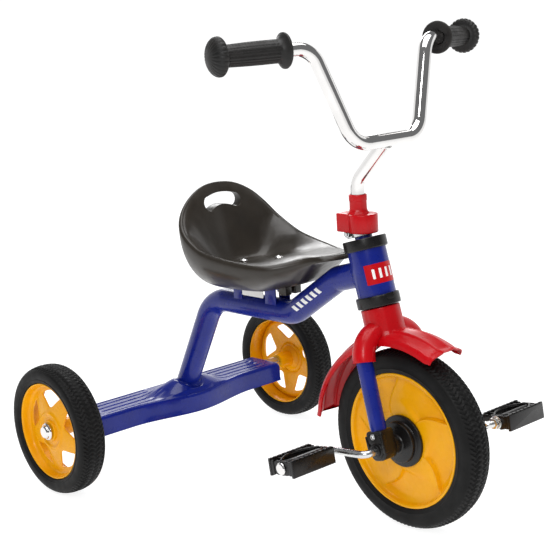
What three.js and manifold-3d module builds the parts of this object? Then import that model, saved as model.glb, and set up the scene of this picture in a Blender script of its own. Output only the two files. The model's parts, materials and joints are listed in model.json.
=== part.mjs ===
// A children's tricycle with a bent-tube frame, a pressed steel rear step, a moulded saddle,
// and a fork whose front wheel is driven by pedals on a one-piece crank rod.
// Millimetres. X runs forward, Y to the rider's left, Z up; Z = 0 is the floor.
import * as THREE from "three";
import { mergeVertices } from "three/addons/utils/BufferGeometryUtils.js";
import Module from "manifold-3d";

const wasm = await Module();
wasm.setup();

// ---------------------------------------------------------------- driving dimensions
const FRONT_RADIUS = 125;
const REAR_RADIUS = 100;
const WHEELBASE = 506;
const TRACK = 476; // between the mid-planes of the rear wheels
const TYRE_WIDTH = 45;
const degrees = THREE.MathUtils.degToRad;
const HEAD_ANGLE = degrees(14.5); // the steering axis leans back from the vertical
const GAP = 0.4; // between two pieces that touch
const WELD = 1e-4; // closer vertices are one vertex
const FACETS = { wheel: 36, rear: 28, large: 20, medium: 16, small: 10 }; // round a circle

const FRAME_TUBE = { radius: 18, wall: 2, bends: [62, 45, 24] };
const HEAD = { radius: 26.5, wall: 2, low: 187, high: 274 }; // heights along the steering axis
const BUSH = { radius: 30, height: 15.4, plate: 3.4, plug: 9 };
const STEERER = { radius: 12, wall: 2, low: 139, high: 303 };
const BLADE = { radius: 11, wall: 1.8, topOut: 51, bottomOut: 55.5, top: 150, bottom: 13, bend: 35 };
// The stem follows the steering axis from low to upright, then stands up to the knee's height.
const STEM = { radius: 9.5, wall: 1.6, low: 262, upright: 308, knee: 470, bend: 30 };
const GRIP = { start: 143, end: 231, flange: 22.5, body: 14, knob: 24.5 };
const AXLE_RADIUS = 5;
const REAR_AXLE_HEIGHT = REAR_RADIUS;
const CRANK = { throw: 63.5, phase: degrees(5), armIn: 88, armOut: 91, end: 180, bend: 8.5 };
const PEDAL = { inner: 105, outer: 182.5, width: 47, height: 24, pitch: degrees(7.4) };
const STEP = { halfLength: 190, halfWidth: 36, top: 110, bottom: 79, sheet: 2, hump: 130 };
const SEAT_BASE = 308; // underside of the saddle on its bracket
const SEAT_PAN = 337; // the pan's level behind its rising front
const SEAT_BOLT = { radius: 3, hole: 3.4, head: 6.5, recess: 8, below: 14 };
const SEAT_BOLTS = [
  { name: "rear", x: 184, head: 337 },
  { name: "front", x: 262, head: 349 },
];

const COLOURS = {
  blue: { color: 0x17279c, roughness: 0.22, metalness: 0.1 },
  red: { color: 0xd8101c, roughness: 0.3, metalness: 0 },
  yellow: { color: 0xf4a80c, roughness: 0.3, metalness: 0 },
  black: { color: 0x141416, roughness: 0.35, metalness: 0 },
  rubber: { color: 0x1b1b1d, roughness: 0.75, metalness: 0 },
  chrome: { color: 0xd8dadd, roughness: 0.12, metalness: 1 },
  zinc: { color: 0xb4b8bd, roughness: 0.35, metalness: 1 },
};
const finish = {};
for (const [name, values] of Object.entries(COLOURS)) {
  finish[name] = new THREE.MeshStandardMaterial(values);
}

// ---------------------------------------------------------------- solids and placing
const SIDES = [
  { name: "left", sign: 1 },
  { name: "right", sign: -1 },
];

function manifoldOf(vertProperties, triVerts) {
  return new wasm.Manifold(new wasm.Mesh({ numProp: 3, vertProperties, triVerts }));
}

// A closed geometry as a solid whose faces point out, ready to be joined and cut.
function solid(geometry) {
  const bare = geometry.clone();
  bare.deleteAttribute("normal");
  bare.deleteAttribute("uv");
  const welded = mergeVertices(bare, WELD);
  const vertices = new Float32Array(welded.getAttribute("position").array);
  const triangles = new Uint32Array(welded.index.array);
  const body = manifoldOf(vertices, triangles);
  return body.volume() < 0 ? manifoldOf(vertices, triangles.reverse()) : body;
}

function geometryOf(body) {
  const mesh = body.getMesh();
  const geometry = new THREE.BufferGeometry();
  geometry.setAttribute("position", new THREE.BufferAttribute(mesh.vertProperties, 3));
  geometry.setIndex(new THREE.BufferAttribute(mesh.triVerts, 1));
  geometry.computeVertexNormals();
  return geometry;
}

function place(parent, name, body, material) {
  const mesh = new THREE.Mesh(geometryOf(body), material);
  mesh.name = name;
  parent.add(mesh);
}

function joined(bodies) {
  return bodies.reduce((whole, next) => whole.add(next));
}

function without(body, cutters) {
  return cutters.reduce((rest, cutter) => rest.subtract(cutter), body);
}

// ---------------------------------------------------------------- basic shapes
function circle(radius, sides) {
  return Array.from({ length: sides }, (_, i) => {
    const angle = (2 * Math.PI * i) / sides;
    return new THREE.Vector2(radius * Math.cos(angle), radius * Math.sin(angle));
  });
}

// A round bar along Z between two heights, with its axis at (x, y).
function bar(radius, low, high, sides = FACETS.medium, x = 0, y = 0) {
  const geometry = new THREE.CylinderGeometry(radius, radius, high - low, sides);
  return solid(geometry.rotateX(Math.PI / 2).translate(x, y, (low + high) / 2));
}

// A round bar along Y, with its axis at (x, z).
function crossBar(radius, low, high, sides = FACETS.medium, x = 0, z = 0) {
  const geometry = new THREE.CylinderGeometry(radius, radius, high - low, sides);
  return solid(geometry.translate(x, (low + high) / 2, z));
}

function block(min, max) {
  const size = new THREE.Vector3().subVectors(max, min);
  const geometry = new THREE.BoxGeometry(size.x, size.y, size.z);
  const middle = new THREE.Vector3().addVectors(min, max).multiplyScalar(0.5);
  return solid(geometry.translate(middle.x, middle.y, middle.z));
}

// A turned piece: [radius, height] points revolved about Z, or about Y with alongY.
// The first profile point repeats at the end unless the profile starts and ends on the axis.
// With onFlats, flats and not corners lie at the profile's radius, above, below, ahead and behind.
function turned(profile, segments, { alongY = false, onFlats = false } = {}) {
  const grown = onFlats ? 1 / Math.cos(Math.PI / segments) : 1;
  const onAxis = profile[0][0] === 0;
  const closed = onAxis ? profile : [...profile, profile[0]];
  const points = closed.map(([radius, height]) => new THREE.Vector2(radius * grown, height));
  const geometry = new THREE.LatheGeometry(points, segments, onFlats ? Math.PI / segments : 0);
  return solid(alongY ? geometry : geometry.rotateX(Math.PI / 2));
}

// The same profile mirrored to the other side of the XZ plane.
function mirroredProfile(profile, sign) {
  return profile.map(([radius, height]) => [radius, sign * height]);
}

// A centreline of straight runs joined by round bends, with stations only where it bends.
class BentPath extends THREE.Curve {
  constructor(corners, bendRadius, stepsPerBend = 4) {
    super();
    this.stations = [];
    this.addEnd(corners[0], corners[1], corners[0]);
    for (let i = 1; i < corners.length - 1; i++) {
      const radius = Array.isArray(bendRadius) ? bendRadius[i - 1] : bendRadius;
      this.addBend(corners[i - 1], corners[i], corners[i + 1], radius, stepsPerBend);
    }
    this.addEnd(corners.at(-2), corners.at(-1), corners.at(-1));
  }

  addEnd(from, to, point) {
    const tangent = new THREE.Vector3().subVectors(to, from).normalize();
    this.stations.push({ point: point.clone(), tangent });
  }

  addBend(before, corner, after, radius, steps) {
    const entering = new THREE.Vector3().subVectors(corner, before).normalize();
    const leaving = new THREE.Vector3().subVectors(after, corner).normalize();
    const angle = entering.angleTo(leaving);
    const start = corner.clone().addScaledVector(entering, -radius * Math.tan(angle / 2));
    const inward = leaving.clone().addScaledVector(entering, -Math.cos(angle)).normalize();
    const centre = start.clone().addScaledVector(inward, radius);
    for (let i = 0; i <= steps; i++) {
      const turn = (angle * i) / steps;
      const point = centre.clone().addScaledVector(inward, -radius * Math.cos(turn));
      point.addScaledVector(entering, radius * Math.sin(turn));
      const tangent = entering.clone().multiplyScalar(Math.cos(turn));
      tangent.addScaledVector(inward, Math.sin(turn));
      this.stations.push({ point, tangent });
    }
  }

  get steps() {
    return this.stations.length - 1;
  }

  getUtoTmapping(u) {
    return u;
  }

  getPoint(t, target = new THREE.Vector3()) {
    return target.copy(this.stations[Math.round(t * this.steps)].point);
  }

  getTangent(t, target = new THREE.Vector3()) {
    return target.copy(this.stations[Math.round(t * this.steps)].tangent);
  }
}

function rod(path, radius, sides = FACETS.small) {
  const section = new THREE.Shape(circle(radius, sides));
  return solid(new THREE.ExtrudeGeometry(section, { steps: path.steps, extrudePath: path }));
}

function pipe(path, radius, wall, sides = FACETS.small) {
  const section = new THREE.Shape(circle(radius, sides));
  section.holes.push(new THREE.Path(circle(radius - wall, sides).reverse()));
  return solid(new THREE.ExtrudeGeometry(section, { steps: path.steps, extrudePath: path }));
}

// A closed skin through rings of equally many points, from a point to a point.
function lofted(start, rings, end) {
  const count = rings[0].length;
  const positions = [start, ...rings.flat(), end].flatMap((p) => [p.x, p.y, p.z]);
  const last = positions.length / 3 - 1;
  const indices = [];
  for (let i = 0; i < count; i++) {
    const next = (i + 1) % count;
    indices.push(0, 1 + i, 1 + next);
    for (let row = 0; row < rings.length - 1; row++) {
      const near = 1 + row * count;
      const far = near + count;
      indices.push(near + i, far + i, far + next, near + i, far + next, near + next);
    }
    const edge = 1 + (rings.length - 1) * count;
    indices.push(edge + i, last, edge + next);
  }
  const geometry = new THREE.BufferGeometry();
  geometry.setAttribute("position", new THREE.Float32BufferAttribute(positions, 3));
  geometry.setIndex(indices);
  return solid(geometry);
}

function vec(x, y, z) {
  return new THREE.Vector3(x, y, z);
}

function smoothstep(from, to, value) {
  return THREE.MathUtils.smoothstep(value, from, to);
}

// ---------------------------------------------------------------- frame
// The steering axis passes through the front wheel's centre: its point at a distance along it.
function axisPoint(distance) {
  const forward = WHEELBASE - distance * Math.sin(HEAD_ANGLE);
  return vec(forward, 0, FRONT_RADIUS + distance * Math.cos(HEAD_ANGLE));
}

function headCylinder(radius) {
  const spare = 40;
  const body = new THREE.CylinderGeometry(radius, radius, HEAD.high - HEAD.low + spare, FACETS.large);
  const middle = axisPoint((HEAD.low + HEAD.high) / 2);
  return solid(body.rotateX(Math.PI / 2).rotateY(-HEAD_ANGLE).translate(middle.x, 0, middle.z));
}

function mainTubePath() {
  const foot = vec(10, 0, 100);
  const kneeBack = vec(106, 0, 271);
  const kneeFront = vec(290, 0, 271);
  const neck = vec(384, 0, 332);
  const head = vec(437, 0, 332 + 53 * Math.tan(HEAD_ANGLE)); // square to the head tube
  return new BentPath([foot, kneeBack, kneeFront, neck, head], FRAME_TUBE.bends, 5);
}

function mainTube() {
  const tube = pipe(mainTubePath(), FRAME_TUBE.radius, FRAME_TUBE.wall, FACETS.medium);
  const insideStep = block(vec(-60, -40, 60), vec(80, 40, STEP.top + 2));
  return without(tube, [insideStep, headCylinder(HEAD.radius + GAP)]);
}

// The step seen from above: a bar that bulges forward round the tube's foot.
function stepOutline(inset) {
  const bulge = [
    [36, 95],
    [45, 76],
    [56, 50],
    [62, 20],
  ];
  const half = bulge.map(([x, y]) => new THREE.Vector2(x - inset, y));
  const mirrored = half.map((p) => new THREE.Vector2(p.x, -p.y)).reverse();
  const front = new THREE.SplineCurve([...half, ...mirrored]).getPoints(14);
  const edge = STEP.halfWidth - inset;
  const end = STEP.halfLength;
  const corners = [
    new THREE.Vector2(edge, -end),
    new THREE.Vector2(-edge, -end),
    new THREE.Vector2(-edge, end),
    new THREE.Vector2(edge, end),
  ];
  return new THREE.Shape([...front, ...corners]);
}

// A ring of the hump round the tube's foot, at one height.
function humpRing(centreX, radiusX, radiusY, z) {
  return circle(1, FACETS.large).map((p) => vec(centreX + radiusX * p.x, radiusY * p.y, z));
}

// The pressing's outer form, or its inside when inset by the sheet's thickness.
function stepForm(inset) {
  const low = inset ? STEP.bottom - 10 : STEP.bottom;
  const depth = STEP.top - inset - low;
  const deck = new THREE.ExtrudeGeometry(stepOutline(inset), { depth, bevelEnabled: false, steps: 1 });
  const rings = [
    humpRing(16, 44 - inset, 92 - inset, STEP.top - 12),
    humpRing(17, 43.5 - inset, 90 - inset, STEP.top - inset),
    humpRing(19, 42 - inset, 74 - inset, STEP.top + 6 - inset),
    humpRing(22, 39 - inset, 56 - inset, STEP.hump - 5 - inset),
    humpRing(24, 34 - inset, 42 - inset, STEP.hump - inset),
  ];
  const hump = lofted(vec(16, 0, STEP.top - 12), rings, vec(24, 0, STEP.hump - inset));
  return solid(deck.translate(0, 0, low)).add(hump);
}

function rearStep() {
  const shell = stepForm(0).subtract(stepForm(STEP.sheet));
  return shell.subtract(rod(mainTubePath(), FRAME_TUBE.radius + 1, FACETS.medium));
}

function stepEndPlate(sign) {
  const inside = STEP.sheet + GAP;
  const low = Math.min(sign * (STEP.halfLength - 5), sign * (STEP.halfLength - 1));
  const min = vec(-STEP.halfWidth + inside, low, STEP.bottom + 1);
  const max = vec(STEP.halfWidth - inside, low + 4, STEP.top - inside);
  const axle = crossBar(AXLE_RADIUS + GAP, low - 1, low + 5, FACETS.small, 0, REAR_AXLE_HEIGHT);
  return block(min, max).subtract(axle);
}

// The folded sheet between the tube and the saddle: a plate on two pairs of legs.
const BRACKET = { halfWidth: 15, sheet: 2.5, low: 276, front: 272, legs: [[172, 191], [243, 266]] };

function seatBracket() {
  const { halfWidth, sheet, low, front: plateEnd, legs } = BRACKET;
  const top = SEAT_BASE - GAP;
  const plate = block(vec(legs[0][0], -halfWidth, top - sheet), vec(plateEnd, halfWidth, top));
  const walls = legs.flatMap(([back, front]) =>
    SIDES.map(({ sign }) => {
      const inner = sign * halfWidth - (sign > 0 ? sheet : 0);
      return block(vec(back, inner, low), vec(front, inner + sheet, top - 1));
    }),
  );
  const holes = SEAT_BOLTS.map(({ x }) => bar(SEAT_BOLT.hole, top - 10, top + 5, FACETS.small, x));
  const tube = rod(mainTubePath(), FRAME_TUBE.radius + GAP, FACETS.medium);
  return without(joined([plate, ...walls]), [tube, ...holes]);
}

function headTube() {
  const inner = HEAD.radius - HEAD.wall;
  return turned(
    [
      [HEAD.radius, HEAD.low],
      [HEAD.radius, HEAD.high],
      [inner, HEAD.high],
      [inner, HEAD.low],
    ],
    FACETS.large,
  );
}

// A plastic bush capping one end of the head tube; up is 1 for the upper one.
function headBush(up) {
  const tubeEnd = up > 0 ? HEAD.high : HEAD.low;
  const at = (depth) => tubeEnd + up * depth;
  const bore = STEERER.radius + GAP;
  const plug = HEAD.radius - HEAD.wall - GAP;
  return turned(
    [
      [bore, at(BUSH.plate)],
      [BUSH.radius - 1, at(BUSH.plate)],
      [BUSH.radius, at(BUSH.plate - 1)],
      [BUSH.radius, at(BUSH.plate - BUSH.height)],
      [HEAD.radius + GAP, at(BUSH.plate - BUSH.height)],
      [HEAD.radius + GAP, at(GAP)],
      [plug, at(GAP)],
      [plug, at(-BUSH.plug)],
      [bore, at(-BUSH.plug)],
    ],
    FACETS.large,
  );
}

// ---------------------------------------------------------------- saddle
const SEAT_CENTRE = vec(205, 0, 0);
const SEAT_RIM = [
  [125, 0, 453],
  [129, 34, 449],
  [135, 65, 434],
  [144, 86, 414],
  [162, 98, 392],
  [200, 101.5, 371],
  [240, 98, 362],
  [281, 91, 357],
  [318, 79, 355],
  [341, 58, 358],
  [362, 41, 363],
  [390, 31, 367],
  [404, 0, 368],
];

// The rim's outer edge, once round from the back by the left, the nose and the right.
function seatRim(count) {
  const left = SEAT_RIM.map(([x, y, z]) => vec(x, y, z));
  const right = SEAT_RIM.slice(1, -1).map(([x, y, z]) => vec(x, -y, z)).reverse();
  return new THREE.CatmullRomCurve3([...left, ...right], true).getSpacedPoints(count).slice(0, count);
}

// One ring of the saddle's skin, at a share of the way out from its centre to the rim.
function seatRing(rim, share, height) {
  return rim.map((edge) => {
    const point = SEAT_CENTRE.clone().lerp(edge, share);
    point.z = height(point.x, edge.z);
    return point;
  });
}

function panHeight(x) {
  return SEAT_PAN + 0.17 * Math.max(0, x - 190);
}

function undersideHeight(x) {
  return Math.min(SEAT_BASE + 0.22 * Math.max(0, x - 277) + 0.55 * Math.max(0, x - 330), 358);
}

function saddleSkin() {
  const rim = seatRim(32);
  const topShares = [0.4, 0.6, 0.74, 0.85, 0.95];
  const underShares = [0.97, 0.88, 0.76, 0.6];
  const rings = [
    ...topShares.map((share) => {
      const rise = smoothstep(0.45, 0.95, share);
      return seatRing(rim, share, (x, edge) => THREE.MathUtils.lerp(panHeight(x), edge, rise));
    }),
    seatRing(rim, 1, (x, edge) => edge - 4),
    seatRing(rim, 1, (x, edge) => edge - 7),
    ...underShares.map((share) => {
      const rise = 1 - Math.sqrt(1 - ((share - 0.45) / 0.55) ** 2);
      const brim = (x, edge) => edge - THREE.MathUtils.lerp(10, 7, smoothstep(360, 400, x));
      return seatRing(rim, share, (x, edge) => THREE.MathUtils.lerp(undersideHeight(x), brim(x, edge), rise));
    }),
  ];
  return lofted(vec(SEAT_CENTRE.x, 0, panHeight(SEAT_CENTRE.x)), rings, vec(SEAT_CENTRE.x, 0, SEAT_BASE));
}

// The hand hole in the saddle's back: an arched slot, cut along X.
function handleSlot() {
  const reach = 25;
  const rise = 11;
  const slot = new THREE.Shape();
  slot.moveTo(-reach, -rise);
  slot.quadraticCurveTo(0, 4, reach, -rise);
  slot.absarc(reach, 0, rise, -Math.PI / 2, Math.PI / 2);
  slot.quadraticCurveTo(0, rise + 7, -reach, rise);
  slot.absarc(-reach, 0, rise, Math.PI / 2, (3 * Math.PI) / 2);
  const geometry = new THREE.ExtrudeGeometry(slot, { depth: 90, bevelEnabled: false, curveSegments: 4 });
  return solid(geometry.rotateX(Math.PI / 2).rotateZ(Math.PI / 2).translate(90, 0, 425));
}

function saddle() {
  const nose = block(vec(274, -16, 298), vec(290, 16, SEAT_BASE + 22));
  const holes = SEAT_BOLTS.flatMap(({ x, head }) => [
    bar(SEAT_BOLT.hole, SEAT_BASE - 5, head, FACETS.small, x),
    bar(SEAT_BOLT.recess, head, head + 20, FACETS.small, x),
  ]);
  return without(saddleSkin().add(nose), [handleSlot(), ...holes]);
}

function seatBolt(x, head) {
  const tip = SEAT_BASE - SEAT_BOLT.below;
  return turned(
    [
      [0, tip],
      [SEAT_BOLT.radius, tip],
      [SEAT_BOLT.radius, head + GAP],
      [SEAT_BOLT.head, head + GAP],
      [SEAT_BOLT.head - 0.3, head + 1.8],
      [3.5, head + 3.2],
      [0, head + 3.6],
    ],
    FACETS.small,
  ).translate([x, 0, 0]);
}

// The nut under the bracket's plate.
function seatNut(x) {
  const high = SEAT_BASE - BRACKET.sheet - 2 * GAP - 0.3;
  const low = high - 4.8;
  return bar(5.8, low, high, 6, x).subtract(bar(SEAT_BOLT.hole, low - 1, high + 1, FACETS.small, x));
}

// ---------------------------------------------------------------- wheels
const FRONT_RIM = { rim: 94, edge: 19.8, bore: 23 };
const REAR_RIM = { rim: 75, edge: 19.7, hubOut: 17, hubIn: 22 };

// A solid rubber tyre: a flat seat on the rim, bulging walls and a round tread.
function tyre(radius, seat, facets) {
  const half = TYRE_WIDTH / 2;
  const height = radius - seat;
  const wall = [
    [seat, half - 2.4],
    [seat + 0.4 * height, half],
    [seat + 0.68 * height, half - 1.6],
    [seat + 0.9 * height, half - 9],
    [radius, half - 18],
  ];
  const other = mirroredProfile(wall, -1).reverse();
  return turned([...wall, ...other], facets, { alongY: true, onFlats: true });
}

// The front wheel's disc is one hollow moulding, open at the hub.
function frontRim() {
  const { rim, edge, bore } = FRONT_RIM;
  const half = [
    [rim, edge],
    [rim - 4.5, edge],
    [rim - 8, 10.5],
    [40, 15],
    [bore, 15],
    [bore, 12],
    [rim - 4, 7.5],
  ];
  const other = mirroredProfile(half, -1).reverse();
  return turned([...half, ...other], FACETS.wheel, { alongY: true });
}

// A stepped black hub flange with a spigot that plugs the wheel's hollow bore.
function hubFlange(sign) {
  const bore = AXLE_RADIUS + GAP;
  const spigot = FRONT_RIM.bore - GAP;
  const profile = [
    [bore, 1],
    [spigot, 1],
    [spigot, 15 + GAP],
    [36, 15 + GAP],
    [36, 19],
    [28, 20.5],
    [28, 28],
    [13, 30],
    [12, 41.5],
    [bore, 41.5],
  ];
  return turned(mirroredProfile(profile, sign), FACETS.large, { alongY: true });
}

// A five-armed rear wheel; sign is the outer side.
function rearRim(sign) {
  const { rim, edge, hubOut, hubIn } = REAR_RIM;
  const bore = AXLE_RADIUS + GAP;
  const profile = [
    [rim, edge],
    [rim - 3.5, edge],
    [rim - 6, 8],
    [29, 7],
    [27, 11],
    [17, 8.5],
    [16, hubOut],
    [bore, hubOut],
    [bore, -hubIn],
    [13, -hubIn],
    [15, 3],
    [rim - 6, 3],
    [rim - 3.5, -edge],
    [rim, -edge],
  ];
  return without(turned(mirroredProfile(profile, sign), FACETS.rear, { alongY: true }), wheelWindows());
}

const WINDOW = { inner: 47, outer: 66, halfIn: 0.12, halfOut: 0.3 }; // radii, and half angles

// Five windows between the arms of a rear wheel.
function wheelWindows() {
  const { inner, outer, halfIn, halfOut } = WINDOW;
  const polar = (r, a) => new THREE.Vector2(r * Math.cos(a), r * Math.sin(a));
  return Array.from({ length: 5 }, (_, i) => {
    const middle = Math.PI / 2 + (2 * Math.PI * i) / 5;
    const arc = [-1, 0, 1].map((step) => polar(outer, middle + step * halfOut));
    const outline = [polar(inner, middle - halfIn), ...arc, polar(inner, middle + halfIn)];
    const options = { depth: 40, bevelEnabled: false };
    const geometry = new THREE.ExtrudeGeometry(new THREE.Shape(outline), options);
    return solid(geometry.translate(0, 0, -options.depth / 2).rotateX(Math.PI / 2));
  });
}

// ---------------------------------------------------------------- rear axle
function axleSpacer(sign) {
  const from = STEP.halfLength + GAP;
  const to = TRACK / 2 - REAR_RIM.hubIn - GAP;
  const bore = AXLE_RADIUS + GAP;
  const profile = [
    [bore, from],
    [9, from],
    [9, to],
    [bore, to],
  ];
  return turned(mirroredProfile(profile, sign), FACETS.small, { alongY: true });
}

function axleWasher(sign) {
  const from = TRACK / 2 + REAR_RIM.hubOut + GAP;
  const profile = [
    [AXLE_RADIUS + GAP, from],
    [10.5, from],
    [10.5, from + 1.2],
    [AXLE_RADIUS + GAP, from + 1.2],
  ];
  return turned(mirroredProfile(profile, sign), FACETS.medium, { alongY: true });
}

// The domed push-on cap at the end of the axle.
function axleCap(sign) {
  const from = TRACK / 2 + REAR_RIM.hubOut + 2;
  const inside = AXLE_RADIUS + GAP;
  const profile = [
    [0, from + 5.6],
    [inside, from + 5.6],
    [inside, from],
    [13.5, from],
    [13.5, from + 2],
    [11, from + 3.4],
    [10, from + 6],
    [6.5, from + 7.6],
    [0, from + 8],
  ];
  return turned(mirroredProfile(profile, sign), FACETS.medium, { alongY: true });
}

// ---------------------------------------------------------------- fork, in the steering axis's frame
function bladePath(sign, outAtTop = 6, low = BLADE.bottom) {
  const top = vec(0, sign * outAtTop, BLADE.top);
  const shoulder = vec(0, sign * BLADE.topOut, BLADE.top);
  const down = (BLADE.top - low) / (BLADE.top - BLADE.bottom);
  const foot = vec(0, sign * THREE.MathUtils.lerp(BLADE.topOut, BLADE.bottomOut, down), low);
  return new BentPath([top, shoulder, foot], BLADE.bend);
}

function forkBlade(sign) {
  const tube = pipe(bladePath(sign), BLADE.radius, BLADE.wall);
  const steerer = bar(STEERER.radius + GAP, 100, 200);
  return without(tube, [steerer, bearingBolt(sign, 0, GAP)]);
}

function steerer() {
  const inner = STEERER.radius - STEERER.wall;
  return turned(
    [
      [STEERER.radius, STEERER.low],
      [STEERER.radius, STEERER.high],
      [inner, STEERER.high],
      [inner, STEERER.low],
    ],
    FACETS.medium,
  );
}

// Bearing housings at the blades' feet carry the crank's axle.
const BEARING = { inner: 42.8, outer: 68.5, halfWidth: 14.5, low: -14, high: 26, bolt: 19 };

function bearingBlock(sign) {
  const { inner, outer, halfWidth, low, high } = BEARING;
  const outline = new THREE.Shape();
  outline.absarc(0, 0, halfWidth, Math.PI, 2 * Math.PI);
  outline.lineTo(halfWidth, high - 6);
  outline.quadraticCurveTo(halfWidth, high, halfWidth - 6, high);
  outline.lineTo(6 - halfWidth, high);
  outline.quadraticCurveTo(-halfWidth, high, -halfWidth, high - 6);
  const options = { depth: outer - inner, bevelEnabled: false, curveSegments: 6 };
  const body = new THREE.ExtrudeGeometry(outline, options).rotateX(Math.PI / 2);
  const start = sign > 0 ? outer : -inner;
  return without(solid(body.translate(0, start, 0)), [
    crossBar(AXLE_RADIUS + GAP, -80, 80),
    rod(bladePath(sign, 6, low + 20), BLADE.radius + GAP),
    bearingBolt(sign, 0, GAP),
  ]);
}

// The bolt that holds a bearing housing on its blade: a shank, with a head on the outer side.
function bearingBolt(sign, headRadius, grow = 0) {
  const shank = 2.5 + grow;
  const tip = sign * (BEARING.inner - 5);
  const under = sign * (BEARING.outer + GAP);
  const face = under + sign * 3;
  const low = Math.min(tip, under) - (headRadius ? 0 : 4);
  const high = Math.max(tip, under) + (headRadius ? 0 : 4);
  const body = crossBar(shank, low, high, FACETS.small, 0, BEARING.bolt);
  if (!headRadius) return body;
  const ends = [Math.min(under, face), Math.max(under, face)];
  return body.add(crossBar(headRadius, ...ends, FACETS.small, 0, BEARING.bolt));
}

function bearingNut(sign) {
  const near = sign * (BEARING.inner - 0.6);
  const far = near - sign * 3.4;
  const low = Math.min(near, far);
  const high = Math.max(near, far);
  const nut = crossBar(4.6, low, high, 6, 0, BEARING.bolt);
  return nut.subtract(crossBar(2.5 + GAP, low - 1, high + 1, FACETS.small, 0, BEARING.bolt));
}

// ---------------------------------------------------------------- handlebar clamp and its cover
const CLAMP = { low: 281, high: 296, radius: 15, earReach: -26.5, bolt: -22, boltHeight: 288 };

function clampCollar() {
  const { low, high, radius, earReach, bolt, boltHeight } = CLAMP;
  const ring = bar(radius, low, high);
  const ears = block(vec(earReach, -5, low), vec(0, 5, high));
  const slit = block(vec(earReach - 1, -1.6, low - 1), vec(0, 1.6, high + 1));
  const bore = bar(STEERER.radius + GAP, low - 1, high + 1);
  return without(ring.add(ears), [slit, bore, crossBar(3 + GAP, -8, 8, FACETS.small, bolt, boltHeight)]);
}

function clampBolt() {
  const shank = crossBar(3, -11, 6, FACETS.small, CLAMP.bolt, CLAMP.boltHeight);
  return shank.add(crossBar(5.2, 5 + GAP, 9, 6, CLAMP.bolt, CLAMP.boltHeight));
}

function clampNut() {
  const nut = crossBar(5.2, -9, -5 - GAP, 6, CLAMP.bolt, CLAMP.boltHeight);
  return nut.subtract(crossBar(3 + GAP, -12, 0, FACETS.small, CLAMP.bolt, CLAMP.boltHeight));
}

// The stem leaves the fork along the steering axis, stands up through its cover and leans forward.
const COVER = {
  low: 402,
  shoulder: 427.5,
  high: 453.5,
  sleeve: 12.6,
  box: 15,
  back: -28.5,
  lobe: 20,
  centre: 8, // the round front's centre, ahead of the stem
  wall: 2.2,
};

function stemPath() {
  const low = axisPoint(STEM.low);
  const upright = axisPoint(STEM.upright);
  const knee = vec(upright.x, 0, STEM.knee);
  const { middle } = barPoints();
  return new BentPath([low, upright, knee, vec(middle.x - 4, 0, middle.z - 4)], STEM.bend);
}

function handlebarStem() {
  const stem = pipe(stemPath(), STEM.radius, STEM.wall);
  return stem.subtract(rod(barPath(), STEM.radius + GAP));
}

// The cover seen from above: a box over the clamp's ears, and a round front over the fork.
function coverOutline(inset) {
  const back = COVER.back + inset;
  const side = COVER.box - inset;
  const radius = COVER.lobe - inset;
  const meet = Math.asin(side / radius);
  const outline = new THREE.Shape();
  outline.moveTo(back, side);
  outline.lineTo(back, -side);
  outline.absarc(COVER.centre, 0, radius, Math.PI + meet, 3 * Math.PI - meet);
  return outline;
}

function stemCover() {
  const { low, shoulder, high, sleeve, wall } = COVER;
  const form = (outline, from, to) => {
    const options = { depth: to - from, bevelEnabled: false, curveSegments: 14 };
    return solid(new THREE.ExtrudeGeometry(outline, options).translate(0, 0, from));
  };
  const outside = form(coverOutline(0), low, shoulder).add(bar(sleeve, shoulder - 2, high));
  const inside = form(coverOutline(wall), low - 5, shoulder - wall);
  const bore = bar(STEM.radius + 0.8, shoulder - 10, high + 1);
  const body = without(outside, [inside, bore]);
  return body.translate([axisPoint(STEM.upright).x, 0, 0]);
}

// ---------------------------------------------------------------- handlebar and grips
// The half bar's corners on the rider's left; grips start where the bar has swept out.
function barPoints() {
  const high = vec(466, 108, 653);
  const sweep = vec(-0.284, 1, -0.02);
  return {
    middle: vec(487, 0, 528),
    low: vec(487, 61, 528),
    high,
    gripStart: high.clone().addScaledVector(sweep, (GRIP.start - high.y) / sweep.y),
    gripEnd: high.clone().addScaledVector(sweep, (GRIP.end - high.y) / sweep.y),
  };
}

function mirrored(point) {
  return vec(point.x, -point.y, point.z);
}

function barPath() {
  const { low, high, gripStart, gripEnd } = barPoints();
  const end = gripStart.clone().lerp(gripEnd, 0.93);
  const left = [end, high, low];
  return new BentPath([...left, ...left.map(mirrored).reverse()], [32, 34, 34, 32]);
}

function handlebar() {
  return pipe(barPath(), STEM.radius, STEM.wall);
}

// A rubber grip with a dished inner flange and a domed knob, turned and then swung onto the bar.
function grip(sign) {
  const { gripStart, gripEnd } = barPoints();
  const length = gripStart.distanceTo(gripEnd);
  const { flange, body, knob } = GRIP;
  const bore = STEM.radius + GAP;
  const turnedGrip = turned(
    [
      [0, length - 4],
      [bore, length - 4],
      [bore, 3],
      [flange, -1],
      [flange, 3],
      [flange - 5, 6],
      [body + 1, 10],
      [body - 0.5, length - 6],
      [knob - 2, length - 7],
      [knob, length - 3],
      [knob - 3, length + 4],
      [knob * 0.6, length + 10],
      [0, length + 13],
    ],
    FACETS.medium,
  );
  const start = sign > 0 ? gripStart : mirrored(gripStart);
  const end = sign > 0 ? gripEnd : mirrored(gripEnd);
  const direction = new THREE.Vector3().subVectors(end, start).normalize();
  const turn = new THREE.Quaternion().setFromUnitVectors(vec(0, 0, 1), direction);
  const matrix = new THREE.Matrix4().compose(start, turn, vec(1, 1, 1));
  return solid(geometryOf(turnedGrip).applyMatrix4(matrix));
}

// ---------------------------------------------------------------- fender
const FENDER = { crown: 150, flare: 8, front: 61, back: 176, wall: 2.2, sleeve: 27, sleeveTop: 182.6 };

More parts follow.
